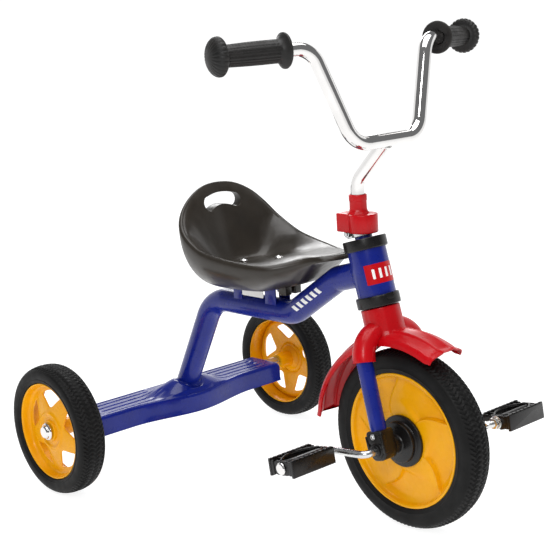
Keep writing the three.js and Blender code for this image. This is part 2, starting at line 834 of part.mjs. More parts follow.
// An arc about the wheel's axle, from the front over the top to the back.
class WheelArc extends THREE.Curve {
  getPoint(t, target = new THREE.Vector3()) {
    const degrees = THREE.MathUtils.lerp(FENDER.front, FENDER.back, t);
    const angle = THREE.MathUtils.degToRad(degrees);
    const reach = FENDER.crown + FENDER.flare * smoothstep(0.55, 1, t);
    return target.set(reach * Math.cos(angle), 0, reach * Math.sin(angle));
  }
}

// The arch's section: [half width, height below the crown] from the ridge to the edge.
const FENDER_SECTION = [
  [10, 0],
  [13, 2],
  [25, 5],
  [30.5, 10],
  [32, 16.5],
];

// The section from edge to edge, moved inward by a distance.
function fenderSection(inset) {
  const left = FENDER_SECTION.map(([y, drop]) => new THREE.Vector2(y, -drop));
  const line = [...left.toReversed(), ...left.map((p) => new THREE.Vector2(-p.x, p.y))];
  return line.map((point, i) => {
    const along = new THREE.Vector2().subVectors(line[i + 1] ?? point, line[i - 1] ?? point).normalize();
    return new THREE.Vector2(point.x - inset * along.y, point.y + inset * along.x);
  });
}

function fenderArch() {
  const outside = fenderSection(0);
  const inside = fenderSection(FENDER.wall).reverse();
  const section = new THREE.Shape([...outside, ...inside]);
  return solid(new THREE.ExtrudeGeometry(section, { steps: 14, extrudePath: new WheelArc() }));
}

// The space under the arch, as a disc that the sleeve and the shoulders don't reach into.
function wheelSpace() {
  const profile = fenderSection(FENDER.wall).map((point) => [FENDER.crown + point.y, point.x]);
  return turned([[0, profile[0][1]], ...profile, [0, profile.at(-1)[1]]], FACETS.large, { alongY: true });
}

// A shape made in the steering axis's frame, turned into the wheel's upright frame.
function leaned(body) {
  return solid(geometryOf(body).rotateY(-HEAD_ANGLE));
}

function fender() {
  const { wall, sleeve, sleeveTop } = FENDER;
  const shoulder = BLADE.radius + GAP + 3;
  const sleeveBody = leaned(bar(sleeve, 134, sleeveTop));
  const sleeveBore = leaned(bar(sleeve - wall, 60, sleeveTop + 1));
  const shoulders = SIDES.map(({ sign }) => leaned(rod(bladePath(sign, 0, 122), shoulder)));
  const hollows = SIDES.map(({ sign }) => leaned(rod(bladePath(sign, 0, 100), shoulder - 2)));
  const outside = joined([sleeveBody, ...shoulders]).subtract(wheelSpace());
  return without(outside.add(fenderArch()), [sleeveBore, ...hollows]);
}

// ---------------------------------------------------------------- crank and pedals
function crankPin(sign) {
  return vec(sign * CRANK.throw * Math.cos(CRANK.phase), 0, sign * CRANK.throw * Math.sin(CRANK.phase));
}

function crankRod() {
  const half = (sign) => {
    const pin = crankPin(sign);
    return [
      vec(pin.x, sign * CRANK.end, pin.z),
      vec(pin.x, sign * CRANK.armOut, pin.z),
      vec(0, sign * CRANK.armIn, 0),
    ];
  };
  const corners = [...half(1), ...half(-1).reverse()];
  return rod(new BentPath(corners, CRANK.bend), AXLE_RADIUS, 10);
}

// A pedal about its own pin, which is the Y axis here.
function pedal() {
  const { inner, outer, width, height } = PEDAL;
  const half = width / 2;
  const wall = 5;
  const sides = SIDES.map(({ sign }) => {
    const near = sign > 0 ? half - wall : -half;
    return block(vec(near, inner, -height / 2), vec(near + wall, outer, height / 2));
  });
  const webs = [inner + 3, outer - 10].map((start) =>
    block(vec(-half + 1, start, -8), vec(half - 1, start + 6, 8)),
  );
  const boss = crossBar(9, inner + 1, outer - 2);
  return joined([...sides, ...webs, boss]).subtract(crossBar(AXLE_RADIUS + GAP, inner - 5, outer + 5));
}

function pedalCollar(sign) {
  const profile = [
    [AXLE_RADIUS + GAP, PEDAL.inner - 3.5],
    [8.5, PEDAL.inner - 3.5],
    [8.5, PEDAL.inner - 1],
    [9.5, PEDAL.inner + 1 - GAP],
    [AXLE_RADIUS + GAP, PEDAL.inner + 1 - GAP],
  ];
  return turned(mirroredProfile(profile, sign), FACETS.small, { alongY: true });
}

function pedalCap(sign) {
  const inside = AXLE_RADIUS + GAP;
  const from = PEDAL.outer - 2 + GAP;
  const profile = [
    [0, from + 1.6],
    [inside, from + 1.6],
    [inside, from],
    [8.4, from],
    [8.4, from + 1.5],
    [6.5, from + 3.2],
    [0, from + 3.8],
  ];
  return turned(mirroredProfile(profile, sign), FACETS.medium, { alongY: true });
}

// ---------------------------------------------------------------- assembly
function addFrame(tricycle) {
  place(tricycle, "main_tube", mainTube(), finish.blue);
  place(tricycle, "rear_step", rearStep(), finish.blue);
  place(tricycle, "seat_bracket", seatBracket(), finish.blue);
  place(tricycle, "seat", saddle(), finish.black);
  for (const { name, x, head } of SEAT_BOLTS) {
    place(tricycle, "seat_bolt_" + name, seatBolt(x, head), finish.chrome);
    place(tricycle, "seat_nut_" + name, seatNut(x), finish.zinc);
  }
  const head = new THREE.Group();
  head.position.set(WHEELBASE, 0, FRONT_RADIUS);
  head.rotation.y = -HEAD_ANGLE;
  place(head, "head_tube", headTube(), finish.blue);
  place(head, "head_bush_upper", headBush(1), finish.black);
  place(head, "head_bush_lower", headBush(-1), finish.black);
  tricycle.add(head);
}

function addRearAxle(tricycle) {
  const end = TRACK / 2 + 24;
  const rod = crossBar(AXLE_RADIUS, -end, end, FACETS.small, 0, REAR_AXLE_HEIGHT);
  place(tricycle, "rear_axle", rod, finish.zinc);
  for (const { name, sign } of SIDES) {
    place(tricycle, "step_end_plate_" + name, stepEndPlate(sign), finish.blue);
    const axle = new THREE.Group();
    axle.position.z = REAR_AXLE_HEIGHT;
    place(axle, "axle_spacer_" + name, axleSpacer(sign), finish.zinc);
    place(axle, "axle_washer_" + name, axleWasher(sign), finish.zinc);
    place(axle, "axle_cap_" + name, axleCap(sign), finish.chrome);
    tricycle.add(axle);
    const wheel = new THREE.Group();
    wheel.position.set(0, (sign * TRACK) / 2, REAR_AXLE_HEIGHT);
    place(wheel, "rear_tyre_" + name, tyre(REAR_RADIUS, REAR_RIM.rim + GAP, FACETS.rear), finish.rubber);
    place(wheel, "rear_rim_" + name, rearRim(sign), finish.yellow);
    tricycle.add(wheel);
  }
}

function addFork(tricycle) {
  const fork = new THREE.Group();
  fork.position.set(WHEELBASE, 0, FRONT_RADIUS);
  fork.rotation.y = -HEAD_ANGLE;
  place(fork, "steerer_tube", steerer(), finish.blue);
  place(fork, "clamp_collar", clampCollar(), finish.zinc);
  place(fork, "clamp_bolt", clampBolt(), finish.zinc);
  place(fork, "clamp_nut", clampNut(), finish.zinc);
  for (const { name, sign } of SIDES) {
    place(fork, "fork_blade_" + name, forkBlade(sign), finish.blue);
    place(fork, "crank_bearing_" + name, bearingBlock(sign), finish.black);
    place(fork, "bearing_bolt_" + name, bearingBolt(sign, 4.6), finish.zinc);
    place(fork, "bearing_nut_" + name, bearingNut(sign), finish.zinc);
  }
  tricycle.add(fork);
}

function addHandlebar(tricycle) {
  place(tricycle, "stem_cover", stemCover(), finish.red);
  place(tricycle, "handlebar_stem", handlebarStem(), finish.chrome);
  place(tricycle, "handlebar", handlebar(), finish.chrome);
  for (const { name, sign } of SIDES) {
    place(tricycle, "grip_" + name, grip(sign), finish.rubber);
  }
}

function addFrontWheel(tricycle) {
  const wheel = new THREE.Group();
  wheel.position.set(WHEELBASE, 0, FRONT_RADIUS);
  place(wheel, "fender", fender(), finish.red);
  place(wheel, "front_tyre", tyre(FRONT_RADIUS, FRONT_RIM.rim + GAP, FACETS.wheel), finish.rubber);
  place(wheel, "front_rim", frontRim(), finish.yellow);
  place(wheel, "crank_rod", crankRod(), finish.zinc);
  for (const { name, sign } of SIDES) {
    place(wheel, "hub_flange_" + name, hubFlange(sign), finish.black);
    const pin = crankPin(sign);
    const onPin = new THREE.Group();
    onPin.position.copy(pin);
    place(onPin, "pedal_collar_" + name, pedalCollar(sign), finish.zinc);
    place(onPin, "pedal_cap_" + name, pedalCap(sign), finish.chrome);
    const turning = new THREE.Group();
    turning.rotation.y = -PEDAL.pitch;
    const body = sign > 0 ? pedal() : pedal().rotate([0, 0, 180]);
    place(turning, "pedal_" + name, body, finish.black);
    onPin.add(turning);
    wheel.add(onPin);
  }
  tricycle.add(wheel);
}

const tricycle = new THREE.Group();
addFrame(tricycle);
addRearAxle(tricycle);
addFork(tricycle);
addHandlebar(tricycle);
addFrontWheel(tricycle);

// The origin lies on the floor below the middle of the whole length.
tricycle.position.x = -(WHEELBASE + FRONT_RADIUS - REAR_RADIUS) / 2;

export default tricycle;
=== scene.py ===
"""A children's tricycle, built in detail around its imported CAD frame.

Shapes are written in millimetres in the frame of the body they belong to, and placed in metres.
"""
import json
import math

import bmesh
import bpy
from mathutils import Matrix, Vector, noise


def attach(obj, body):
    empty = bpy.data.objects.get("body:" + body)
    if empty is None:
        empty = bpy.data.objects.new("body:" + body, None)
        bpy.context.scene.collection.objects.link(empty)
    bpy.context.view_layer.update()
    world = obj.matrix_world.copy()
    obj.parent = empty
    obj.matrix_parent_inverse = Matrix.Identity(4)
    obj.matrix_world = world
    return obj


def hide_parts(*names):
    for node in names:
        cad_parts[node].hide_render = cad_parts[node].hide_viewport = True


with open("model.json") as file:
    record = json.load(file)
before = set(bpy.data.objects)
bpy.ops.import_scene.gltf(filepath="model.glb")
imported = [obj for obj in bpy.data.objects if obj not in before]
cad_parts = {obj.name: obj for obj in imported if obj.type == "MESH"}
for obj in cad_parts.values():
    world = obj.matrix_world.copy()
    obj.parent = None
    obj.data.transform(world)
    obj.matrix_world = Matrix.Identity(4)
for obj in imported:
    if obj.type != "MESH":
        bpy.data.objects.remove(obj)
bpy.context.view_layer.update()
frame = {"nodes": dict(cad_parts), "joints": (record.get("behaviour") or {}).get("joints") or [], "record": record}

# ------------------------------------------------------------------ frames of reference
MM = Matrix.Scale(0.001, 4)
JOINTS = {joint["name"]: joint for joint in frame["joints"]}


def joint_frame(name):
    """Millimetres about a joint's point, with X forward and Z up."""
    return Matrix.Translation(JOINTS[name]["pos_m"]) @ MM


REAR_X = JOINTS["rear_wheel_left_spin"]["pos_m"][0]
STEER_AXIS = Vector(JOINTS["steering"]["axis"])
LEAN = math.atan2(-STEER_AXIS.x, STEER_AXIS.z)
TRIKE = Matrix.Translation((REAR_X, 0, 0)) @ MM  # from the floor below the rear axle
WHEEL = joint_frame("front_wheel_spin")
FORK = WHEEL @ Matrix.Rotation(-LEAN, 4, "Y")
WHEEL_X = (WHEEL.translation.x - REAR_X) * 1000
WHEEL_Z = WHEEL.translation.z * 1000
SIDES = (("left", 1), ("right", -1))
RING = 96  # steps round a circle
UP = Vector((0, 0, 1))
ACROSS = Vector((0, 1, 0))


# ------------------------------------------------------------------ shapes
class Shape:
    """Vertices and faces before they become an object."""

    def __init__(self, verts, faces):
        self.verts = verts
        self.faces = faces

    def moved(self, matrix):
        return Shape([matrix @ v for v in self.verts], self.faces)

    def bent(self, change):
        return Shape([change(v) for v in self.verts], self.faces)


def joined(*shapes):
    verts = []
    faces = []
    for shape in shapes:
        start = len(verts)
        verts += shape.verts
        faces += [tuple(i + start for i in face) for face in shape.faces]
    return Shape(verts, faces)


def skin(rows, closed_rows=False, closed_cols=True, caps=True):
    """A surface through rows of equally many points."""
    count = len(rows[0])
    faces = []
    for r in range(len(rows) if closed_rows else len(rows) - 1):
        below = (r + 1) % len(rows)
        for c in range(count if closed_cols else count - 1):
            beside = (c + 1) % count
            faces.append((r * count + c, r * count + beside, below * count + beside, below * count + c))
    if caps and closed_cols and not closed_rows:
        faces.append(tuple(range(count)))
        faces.append(tuple(range((len(rows) - 1) * count, len(rows) * count)))
    return Shape([Vector(p) for row in rows for p in row], faces)


def rounded(points, radius, closed=True, steps=4):
    """A polygon's points with its corners rounded. A third value is that corner's own radius."""
    result = []
    for i, (x, y, *own) in enumerate(points):
        here = Vector((x, y))
        reach = own[0] if own else radius
        if reach == 0 or (not closed and i in (0, len(points) - 1)):
            result.append((x, y))
            continue
        before = Vector(points[i - 1][:2]) - here
        after = Vector(points[(i + 1) % len(points)][:2]) - here
        length = min(reach / math.tan(before.angle(after) / 2), 0.48 * before.length, 0.48 * after.length)
        start = here + before.normalized() * length
        end = here + after.normalized() * length
        for k in range(steps + 1):
            t = k / steps
            point = (1 - t) ** 2 * start + 2 * t * (1 - t) * here + t * t * end
            result.append((point.x, point.y))
    return result


def circle(count):
    """A full turn in even steps."""
    return [2 * math.pi * i / count for i in range(count)]


def rows_about_z(profile, steps, shaped=None):
    """A row of points round Z for each (radius, height). A function may reshape both at each turn."""
    rows = []
    for radius, height in profile:
        row = []
        for turn in circle(steps):
            r, h = shaped(radius, height, turn) if shaped else (radius, height)
            row.append((r * math.cos(turn), r * math.sin(turn), h))
        rows.append(row)
    return rows


def turned(profile, steps=RING, closed=True):
    """(radius, height) points revolved about Z."""
    return skin(rows_about_z(profile, steps), closed_rows=closed, caps=False)


def alongside(shape):
    """A shape about Z laid along Y, its first direction still forward."""
    return shape.moved(Matrix(((1, 0, 0, 0), (0, 0, 1, 0), (0, 1, 0, 0), (0, 0, 0, 1))))


def lathed(profile, sign, corner, steps=RING, closed=True):
    """(radius, distance) points, rounded and revolved about Y on one side of the middle."""
    line = [(radius, sign * distance) for radius, distance in rounded(profile, corner, closed)]
    return alongside(turned(line, steps, closed))


def facing_front(shape, x=0, z=0):
    """A shape raised along Z, turned to be raised along X with its outline as (across, up)."""
    return shape.moved(Matrix(((0, 0, 1, x), (1, 0, 0, 0), (0, 1, 0, z), (0, 0, 0, 1))))


def standing(shape, y):
    """A shape raised along Z, stood up at a place across so that it is raised to the right."""
    return shape.moved(Matrix.Translation((0, y, 0)) @ Matrix.Rotation(math.pi / 2, 4, "X"))


def inset(outline, distance):
    """An outline moved inward by a distance."""
    points = [Vector(p) for p in outline]
    area = sum(points[i - 1].x * p.y - p.x * points[i - 1].y for i, p in enumerate(points))
    result = []
    for i, point in enumerate(points):
        along = (points[(i + 1) % len(points)] - points[i - 1]).normalized()
        inward = Vector((-along.y, along.x)) * math.copysign(1, area)
        result.append(point + inward * distance)
    return result


def prism(outline, low, high, bevel=0.8, steps=3):
    """An outline in XY raised between two heights, with rounded edges."""
    turns = [math.pi / 2 * k / steps for k in range(steps + 1)]
    edge = [(bevel * (1 - math.sin(a)), bevel * (1 - math.cos(a))) for a in turns]
    levels = [(off, low + rise) for off, rise in edge] + [(off, high - rise) for off, rise in reversed(edge)]
    return skin([[(p.x, p.y, height) for p in inset(outline, off)] for off, height in levels])


def slab(x0, x1, y0, y1, z0, z1, bevel=0.6, corner=1.5):
    """A rounded block between two corners."""
    outline = rounded([(x0, y0), (x1, y0), (x1, y1), (x0, y1)], corner)
    return prism(outline, z0, z1, bevel)


def bent(corners, radius, step=2.5):
    """A centreline of straight runs and round bends."""
    corners = [Vector(c) for c in corners]
    radii = radius if isinstance(radius, (list, tuple)) else [radius] * (len(corners) - 2)
    path = [corners[0]]
    for before, corner, after, bend in zip(corners, corners[1:], corners[2:], radii):
        entering = (corner - before).normalized()
        leaving = (after - corner).normalized()
        angle = entering.angle(leaving)
        start = corner - entering * bend * math.tan(angle / 2)
        inward = (leaving - entering * math.cos(angle)).normalized()
        centre = start + inward * bend
        count = max(6, round(angle * bend / step))
        for i in range(count + 1):
            turn = angle * i / count
            path.append(centre - inward * bend * math.cos(turn) + entering * bend * math.sin(turn))
    return path + [corners[-1]]


def refined(path, step):
    """The same line with no two points further apart than a step."""
    result = [path[0]]
    for start, end in zip(path, path[1:]):
        count = max(1, math.ceil((end - start).length / step))
        result += [start.lerp(end, i / count) for i in range(1, count + 1)]
    return result


def round_section(centre, first, second, radius, sides):
    """A circle of points in the plane of two directions."""
    return [centre + (first * math.cos(a) + second * math.sin(a)) * radius for a in circle(sides)]


def swept(path, radius, sides=32, caps=True):
    """A round bar along a path. The radius may depend on the share of the way."""
    rows = []
    normal = None
    length = sum((b - a).length for a, b in zip(path, path[1:]))
    gone = 0
    for i, point in enumerate(path):
        tangent = (path[min(i + 1, len(path) - 1)] - path[max(i - 1, 0)]).normalized()
        if normal is None:
            normal = tangent.orthogonal().normalized()
            if abs(tangent.z) < 0.95:
                normal = (UP - tangent * tangent.z).normalized()
        normal = (normal - tangent * normal.dot(tangent)).normalized()
        if i:
            gone += (point - path[i - 1]).length
        size = radius(gone / length) if callable(radius) else radius
        rows.append(round_section(point, normal, tangent.cross(normal), size, sides))
    return skin(rows, caps=caps)


def weld_bead(end, along, bar_radius, inside, size, steps, sides):
    """A bead of weld round a bar that ends inside another piece, where it comes out of that piece."""
    ring = []
    for edge in round_section(end, ACROSS, along.cross(ACROSS), bar_radius, steps):
        back = 0
        while inside(edge - along * back):
            back += 0.25
        ring.append(edge - along * back)
    rows = []
    for i, point in enumerate(ring):
        tangent = (ring[(i + 1) % steps] - ring[i - 1]).normalized()
        outward = (point - end).normalized()
        outward = (outward - tangent * outward.dot(tangent)).normalized()
        rows.append(round_section(point, outward, tangent.cross(outward), size(i, point), sides))
    return skin(rows, closed_rows=True)


def walled(outer, inner, sides, ends):
    """Two skins of the same bar as one wall, closed at the rows that start at the given points."""
    count = len(outer.verts)
    faces = outer.faces + [tuple(i + count for i in face) for face in inner.faces]
    for start in ends:
        for k in range(sides):
            beside = (k + 1) % sides
            faces.append((start + k, start + beside, start + beside + count, start + k + count))
    return Shape(outer.verts + inner.verts, faces)


def pipe(path, radius, wall, sides=32):
    """A tube with open ends and a real wall."""
    outer = swept(path, radius, sides, caps=False)
    inner = swept(path, radius - wall, sides, caps=False)
    return walled(outer, inner, sides, (0, len(outer.verts) - sides))


def ease(low, high, value):
    t = min(1, max(0, (value - low) / (high - low)))
    return t * t * (3 - 2 * t)


def mix(a, b, t):
    return a + (b - a) * t


# ------------------------------------------------------------------ materials
def add_node(tree, kind, **settings):
    node = tree.nodes.new(kind)
    for name, value in settings.items():
        if name.startswith("in_"):
            key = name[3:]
            node.inputs[int(key) if key.isdigit() else key].default_value = value
        else:
            setattr(node, name, value)
    return node


def noise_value(tree, where, scale, detail=3, stretch=None):
    """A noise's value over the object, with its size per metre."""
    source = where
    if stretch:
        mapping = add_node(tree, "ShaderNodeMapping", in_Scale=stretch)
        tree.links.new(where, mapping.inputs["Vector"])
        source = mapping.outputs["Vector"]
    node = add_node(tree, "ShaderNodeTexNoise", in_Scale=scale, in_Detail=detail)
    tree.links.new(source, node.inputs["Vector"])
    return node.outputs["Fac"]


def ranged(tree, value, low, high, start=0.3, end=0.7):
    """A 0 to 1 value spread between two limits."""
    node = add_node(tree, "ShaderNodeMapRange", in_1=start, in_2=end, in_3=low, in_4=high)
    tree.links.new(value, node.inputs[0])
    return node.outputs[0]


def blended(tree, share, first, second):
    node = add_node(tree, "ShaderNodeMix", data_type="RGBA")
    node.inputs["A"].default_value = (*first, 1)
    node.inputs["B"].default_value = (*second, 1)
    tree.links.new(share, node.inputs["Factor"])
    return node.outputs["Result"]


def bumped(tree, height, strength, distance, after=None):
    node = add_node(tree, "ShaderNodeBump", in_Strength=strength, in_Distance=distance)
    tree.links.new(height, node.inputs["Height"])
    if after:
        tree.links.new(after, node.inputs["Normal"])
    return node.outputs["Normal"]


def finish(name, colours, rough, bumps, metallic=0, coat=0, patch=25, wear=None, specular=0.5):
    """Two colours in soft patches, a roughness range, and bumps as (scale, strength, depth), maybe stretched.

    Wear is a colour and how far it covers the raised edges.
    """
    material = bpy.data.materials.new(name)
    material.use_nodes = True
    tree = material.node_tree
    shader = tree.nodes["Principled BSDF"]
    where = add_node(tree, "ShaderNodeTexCoord").outputs["Object"]
    colour = blended(tree, ranged(tree, noise_value(tree, where, patch), 0, 1), *colours)
    if wear:
        edge = add_node(tree, "ShaderNodeNewGeometry").outputs["Pointiness"]
        worn = ranged(tree, edge, 0, wear[1], 0.53, 0.62)
        node = add_node(tree, "ShaderNodeMix", data_type="RGBA")
        node.inputs["B"].default_value = (*wear[0], 1)
        tree.links.new(colour, node.inputs["A"])
        tree.links.new(worn, node.inputs["Factor"])
        colour = node.outputs["Result"]
    tree.links.new(colour, shader.inputs["Base Color"])
    smudge = noise_value(tree, where, patch * 3.1, 5)
    tree.links.new(ranged(tree, smudge, *rough), shader.inputs["Roughness"])
    normal = None
    for scale, strength, depth, *stretch in bumps:
        normal = bumped(tree, noise_value(tree, where, scale, 4, *stretch), strength, depth, normal)
    tree.links.new(normal, shader.inputs["Normal"])
    shader.inputs["Metallic"].default_value = metallic
    shader.inputs["Coat Weight"].default_value = coat
    shader.inputs["Coat Roughness"].default_value = 0.04
    shader.inputs["Specular IOR Level"].default_value = specular
    return material


BLUE = finish("blue_enamel", ((0.003, 0.011, 0.18), (0.005, 0.016, 0.23)), (0.24, 0.34),
              [(260, 0.05, 0.0006), (1800, 0.03, 0.0002)], coat=0.3, specular=0.22)
RED = finish("red_plastic", ((0.46, 0.001, 0.004), (0.54, 0.002, 0.007)), (0.26, 0.36),
             [(140, 0.05, 0.0008), (2600, 0.05, 0.0002)], coat=0.1, specular=0.22)
YELLOW = finish("yellow_plastic", ((0.85, 0.37, 0.0005), (0.91, 0.43, 0.0015)), (0.22, 0.32),
                [(110, 0.05, 0.0008), (2600, 0.04, 0.0002)], coat=0.06, specular=0.2)
SADDLE = finish("saddle_plastic", ((0.018, 0.014, 0.010), (0.028, 0.022, 0.016)), (0.28, 0.40),
                [(70, 0.05, 0.0010), (1500, 0.03, 0.0002)], coat=0.12, specular=0.4)
BLACK = finish("black_plastic", ((0.004, 0.004, 0.004), (0.008, 0.007, 0.007)), (0.24, 0.36),
               [(900, 0.12, 0.0003), (3200, 0.15, 0.0001)], specular=0.35)
TYRE = finish("tyre_rubber", ((0.004, 0.004, 0.004), (0.008, 0.008, 0.008)), (0.44, 0.62),
              [(420, 0.10, 0.0006), (2400, 0.22, 0.0002)],
              wear=((0.03, 0.027, 0.024), 0.4), specular=0.16)
GRIP = finish("grip_rubber", ((0.006, 0.006, 0.006), (0.014, 0.012, 0.011)), (0.42, 0.6),
              [(500, 0.10, 0.0005), (2600, 0.2, 0.0002)],
              wear=((0.035, 0.03, 0.025), 0.5), specular=0.35)
CHROME = finish("chrome_plate", ((0.70, 0.69, 0.68), (0.78, 0.77, 0.76)), (0.04, 0.10),
                [(160, 0.02, 0.0006), (2200, 0.02, 0.0001)], metallic=1)
ZINC = finish("zinc_plate", ((0.58, 0.60, 0.62), (0.72, 0.72, 0.70)), (0.16, 0.34),
              [(600, 0.08, 0.0003, (1, 6, 1)), (2800, 0.1, 0.0001)], metallic=1)
WHITE = finish("white_label", ((0.86, 0.86, 0.85), (0.92, 0.92, 0.91)), (0.3, 0.42),
               [(300, 0.03, 0.0003)])

SLOT_FINISH = {
    "frame_blue": BLUE, "fender_red": RED, "wheel_yellow": YELLOW, "seat_black": SADDLE,
    "hardware_black": BLACK, "tyre_rubber": TYRE, "grip_rubber": GRIP, "chrome": CHROME, "zinc": ZINC,
}


# ------------------------------------------------------------------ pieces
def mesh_object(name, shape, placing, material, sharp=32):
    mesh = bpy.data.meshes.new(name)
    mesh.from_pydata([placing @ v for v in shape.verts], [], shape.faces)
    work = bmesh.new()
    work.from_mesh(mesh)
    bmesh.ops.remove_doubles(work, verts=work.verts, dist=2e-6)
    bmesh.ops.recalc_face_normals(work, faces=work.faces)
    work.to_mesh(mesh)
    work.free()
    mesh.materials.append(material)
    mesh.shade_smooth()
    mesh.set_sharp_from_angle(angle=math.radians(sharp))
    obj = bpy.data.objects.new(name, mesh)
    bpy.context.scene.collection.objects.link(obj)
    return obj


def piece(name, shape, placing, body, slot, nodes=(), material=None, sharp=32):
    """An object of the finish that its slot names, riding on a body and standing for CAD nodes."""
    obj = mesh_object(name, shape, placing, material or SLOT_FINISH[slot], sharp)
    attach(obj, body)
    if nodes:
        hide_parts(*nodes)
    return obj


def settled(obj):
    """Modifiers become the mesh itself."""
    graph = bpy.context.evaluated_depsgraph_get()
    mesh = bpy.data.meshes.new_from_object(obj.evaluated_get(graph))
    obj.modifiers.clear()
    obj.data = mesh
    return obj


def add_modifier(obj, kind, **settings):
    modifier = obj.modifiers.new(kind.lower(), kind)
    for name, value in settings.items():
        setattr(modifier, name, value)
    return modifier


# ------------------------------------------------------------------ frame
TUBE_RADIUS = 18
HEAD_RADIUS = 26.5
NECK = Vector((384, 0, 332))  # the bend that squares the tube to the head tube
TUBE_END = NECK + Vector((53, 0, 53 * math.tan(LEAN)))
KNEE = Vector((290, 0, 271))
TUBE = bent([(10, 0, 100), (106, 0, 271), KNEE, NECK, TUBE_END], [62, 45, 24])
STEP_TOP = 110
STEP_BOTTOM = 79
STEP_END = 190
STEP_HALF = 36


def head_distance(point):
    """How far a point of the tricycle's frame lies from the steering axis."""
    axis = Vector((-math.sin(LEAN), 0, math.cos(LEAN)))
    offset = point - Vector((WHEEL_X, 0, WHEEL_Z))
    return (offset - axis * offset.dot(axis)).length


def head_weld():
    """The uneven bead where the main tube meets the head tube."""
    along = (TUBE[-1] - TUBE[-2]).normalized()

    def size(i, point):
        return 2.3 * (1 + 0.14 * math.sin(i * 2.1) + 0.08 * noise.noise(point * 0.3))

    return weld_bead(TUBE[-1], along, TUBE_RADIUS, lambda p: head_distance(p) < HEAD_RADIUS, size, 72, 12)


def make_tube():
    tube = swept(refined(TUBE, 8), TUBE_RADIUS, 56)
    piece("main_tube_body", tube, TRIKE, "frame", "frame_blue", ["main_tube"])
    piece("head_weld", head_weld(), TRIKE, "frame", "frame_blue")
    for name, sign in SIDES:
        piece("tube_stripes_" + name, tube_stripes(sign), TRIKE, "frame", "frame_blue", material=WHITE)


def tube_patch(start, end, low, high, lean, radius, along_steps, round_steps):
    """A thin leaning patch wrapped on a bar that runs from start to end, between two angles."""
    direction = (end - start).normalized()
    up = ACROSS.cross(direction)
    rows = []
    for i in range(along_steps + 1):
        lines = []
        for lift in (0.05, 0.3):
            line = []
            for k in range(round_steps + 1):
                t = k / round_steps
                angle = mix(low, high, t)
                at = start.lerp(end, i / along_steps) + direction * lean * t
                line.append(at + (ACROSS * math.cos(angle) + up * math.sin(angle)) * (radius + lift))
            lines.append(line)
        rows.append(lines[0] + lines[1][::-1])
    return skin(rows)


def tube_stripes(sign):
    """A plain row of slanted bars on the side of the tube, ahead of the saddle."""
    run = (NECK - KNEE).normalized()
    low, high = (math.pi - 0.32, math.pi + 0.24) if sign < 0 else (0.32, -0.24)
    bars = []
    for i in range(6):
        start = KNEE + run * (24 + 11.5 * i)
        bars.append(tube_patch(start, start + run * 6.5, low, high, -6, TUBE_RADIUS, 3, 8))
    return joined(*bars)


STEP_BULGE = 22  # how far the front wall swells round the tube's foot
STEP_CORNER = 6
FOOT_X = 24  # where the tube goes through the deck
FOOT_STRETCH = 1.12  # its leaning section is that much longer than wide


def step_front(y):
    return STEP_HALF + STEP_BULGE * (1 - ease(0, 122, abs(y)))


def step_height(x, y):
    """The deck's height above its flat level: grooves at the sides, a hump in the middle."""
    reach = math.hypot((x - 20) / 43, y / mix(88, 74, ease(-10, 30, x)))
    hump = 21 * (1 - ease(0.12, 1.08, reach))
    moat = 3.0 * (1 - ease(1.5, 5, abs(math.hypot((x - FOOT_X) / FOOT_STRETCH, y) - TUBE_RADIUS - 1.5)))
    share = (x + STEP_HALF) / (2 * STEP_HALF)
    groove = 0
    if 0.1 < share < 0.9 and abs(y) < STEP_END - 16:
        wave = math.cos(2 * math.pi * (share - 0.1) / 0.8 * 4)
        run = ease(44, 62, abs(y)) * (1 - ease(STEP_END - 30, STEP_END - 18, abs(y)))
        groove = -1.5 * ease(0.0, 0.85, wave) * run
    return hump - (moat if reach < 0.8 else 0) + groove


def step_section(y, thickness):
    """The pressed channel's cross-section at one place across, from its back edge to its front edge."""
    end_round = 3.2 * (1 - math.sqrt(max(0, 1 - ease(STEP_END - 5, STEP_END, abs(y)) ** 2)))
    back = -STEP_HALF + thickness
    front = step_front(y) - thickness
    top = STEP_TOP - thickness - end_round
    corner = STEP_CORNER
    turns = [math.pi / 2 * k / 6 for k in range(1, 6)]
    points = [(back - 1.2, STEP_BOTTOM), (back, STEP_BOTTOM + 6), (back, STEP_BOTTOM + 14),
              (back, top - corner)]
    points += [(back + corner * (1 - math.cos(a)), top - corner * (1 - math.sin(a))) for a in turns]
    deck = 72
    for k in range(deck + 1):
        x = mix(back + corner, front - corner, k / deck)
        points.append((x, top + step_height(x, y)))
    points += [(front - corner * (1 - math.sin(a)), top - corner * (1 - math.cos(a))) for a in turns]
    return points + [(front, top - corner), (front, STEP_BOTTOM + 14), (front, STEP_BOTTOM + 6),
                     (front + 1.2, STEP_BOTTOM)]


def step_shell():
    stations = 150
    rows = []
    for i in range(stations + 1):
        share = mix(-1, 1, i / stations)
        y = STEP_END * mix(share, math.sin(math.pi / 2 * share), 0.3)  # closer together near the ends
        outer = [(x, y, z) for x, z in step_section(y, 0)]
        inner = [(x, y, z) for x, z in step_section(y, 2)]
        rows.append(outer + inner[::-1])
    return skin(rows)


def make_step():
    piece("rear_step_pressing", step_shell(), TRIKE, "frame", "frame_blue", ["rear_step"], sharp=50)
    rows = []
    for a in circle(64):
        x, y = FOOT_X + FOOT_STRETCH * 20.4 * math.cos(a), 20.4 * math.sin(a)
        outward = Vector((x - FOOT_X, y, 0)).normalized()
        rows.append(round_section(Vector((x, y, STEP_TOP + step_height(x, y) + 0.2)), outward, UP, 0.8, 8))
    piece("step_collar_lip", skin(rows, closed_rows=True), TRIKE, "frame", "frame_blue")


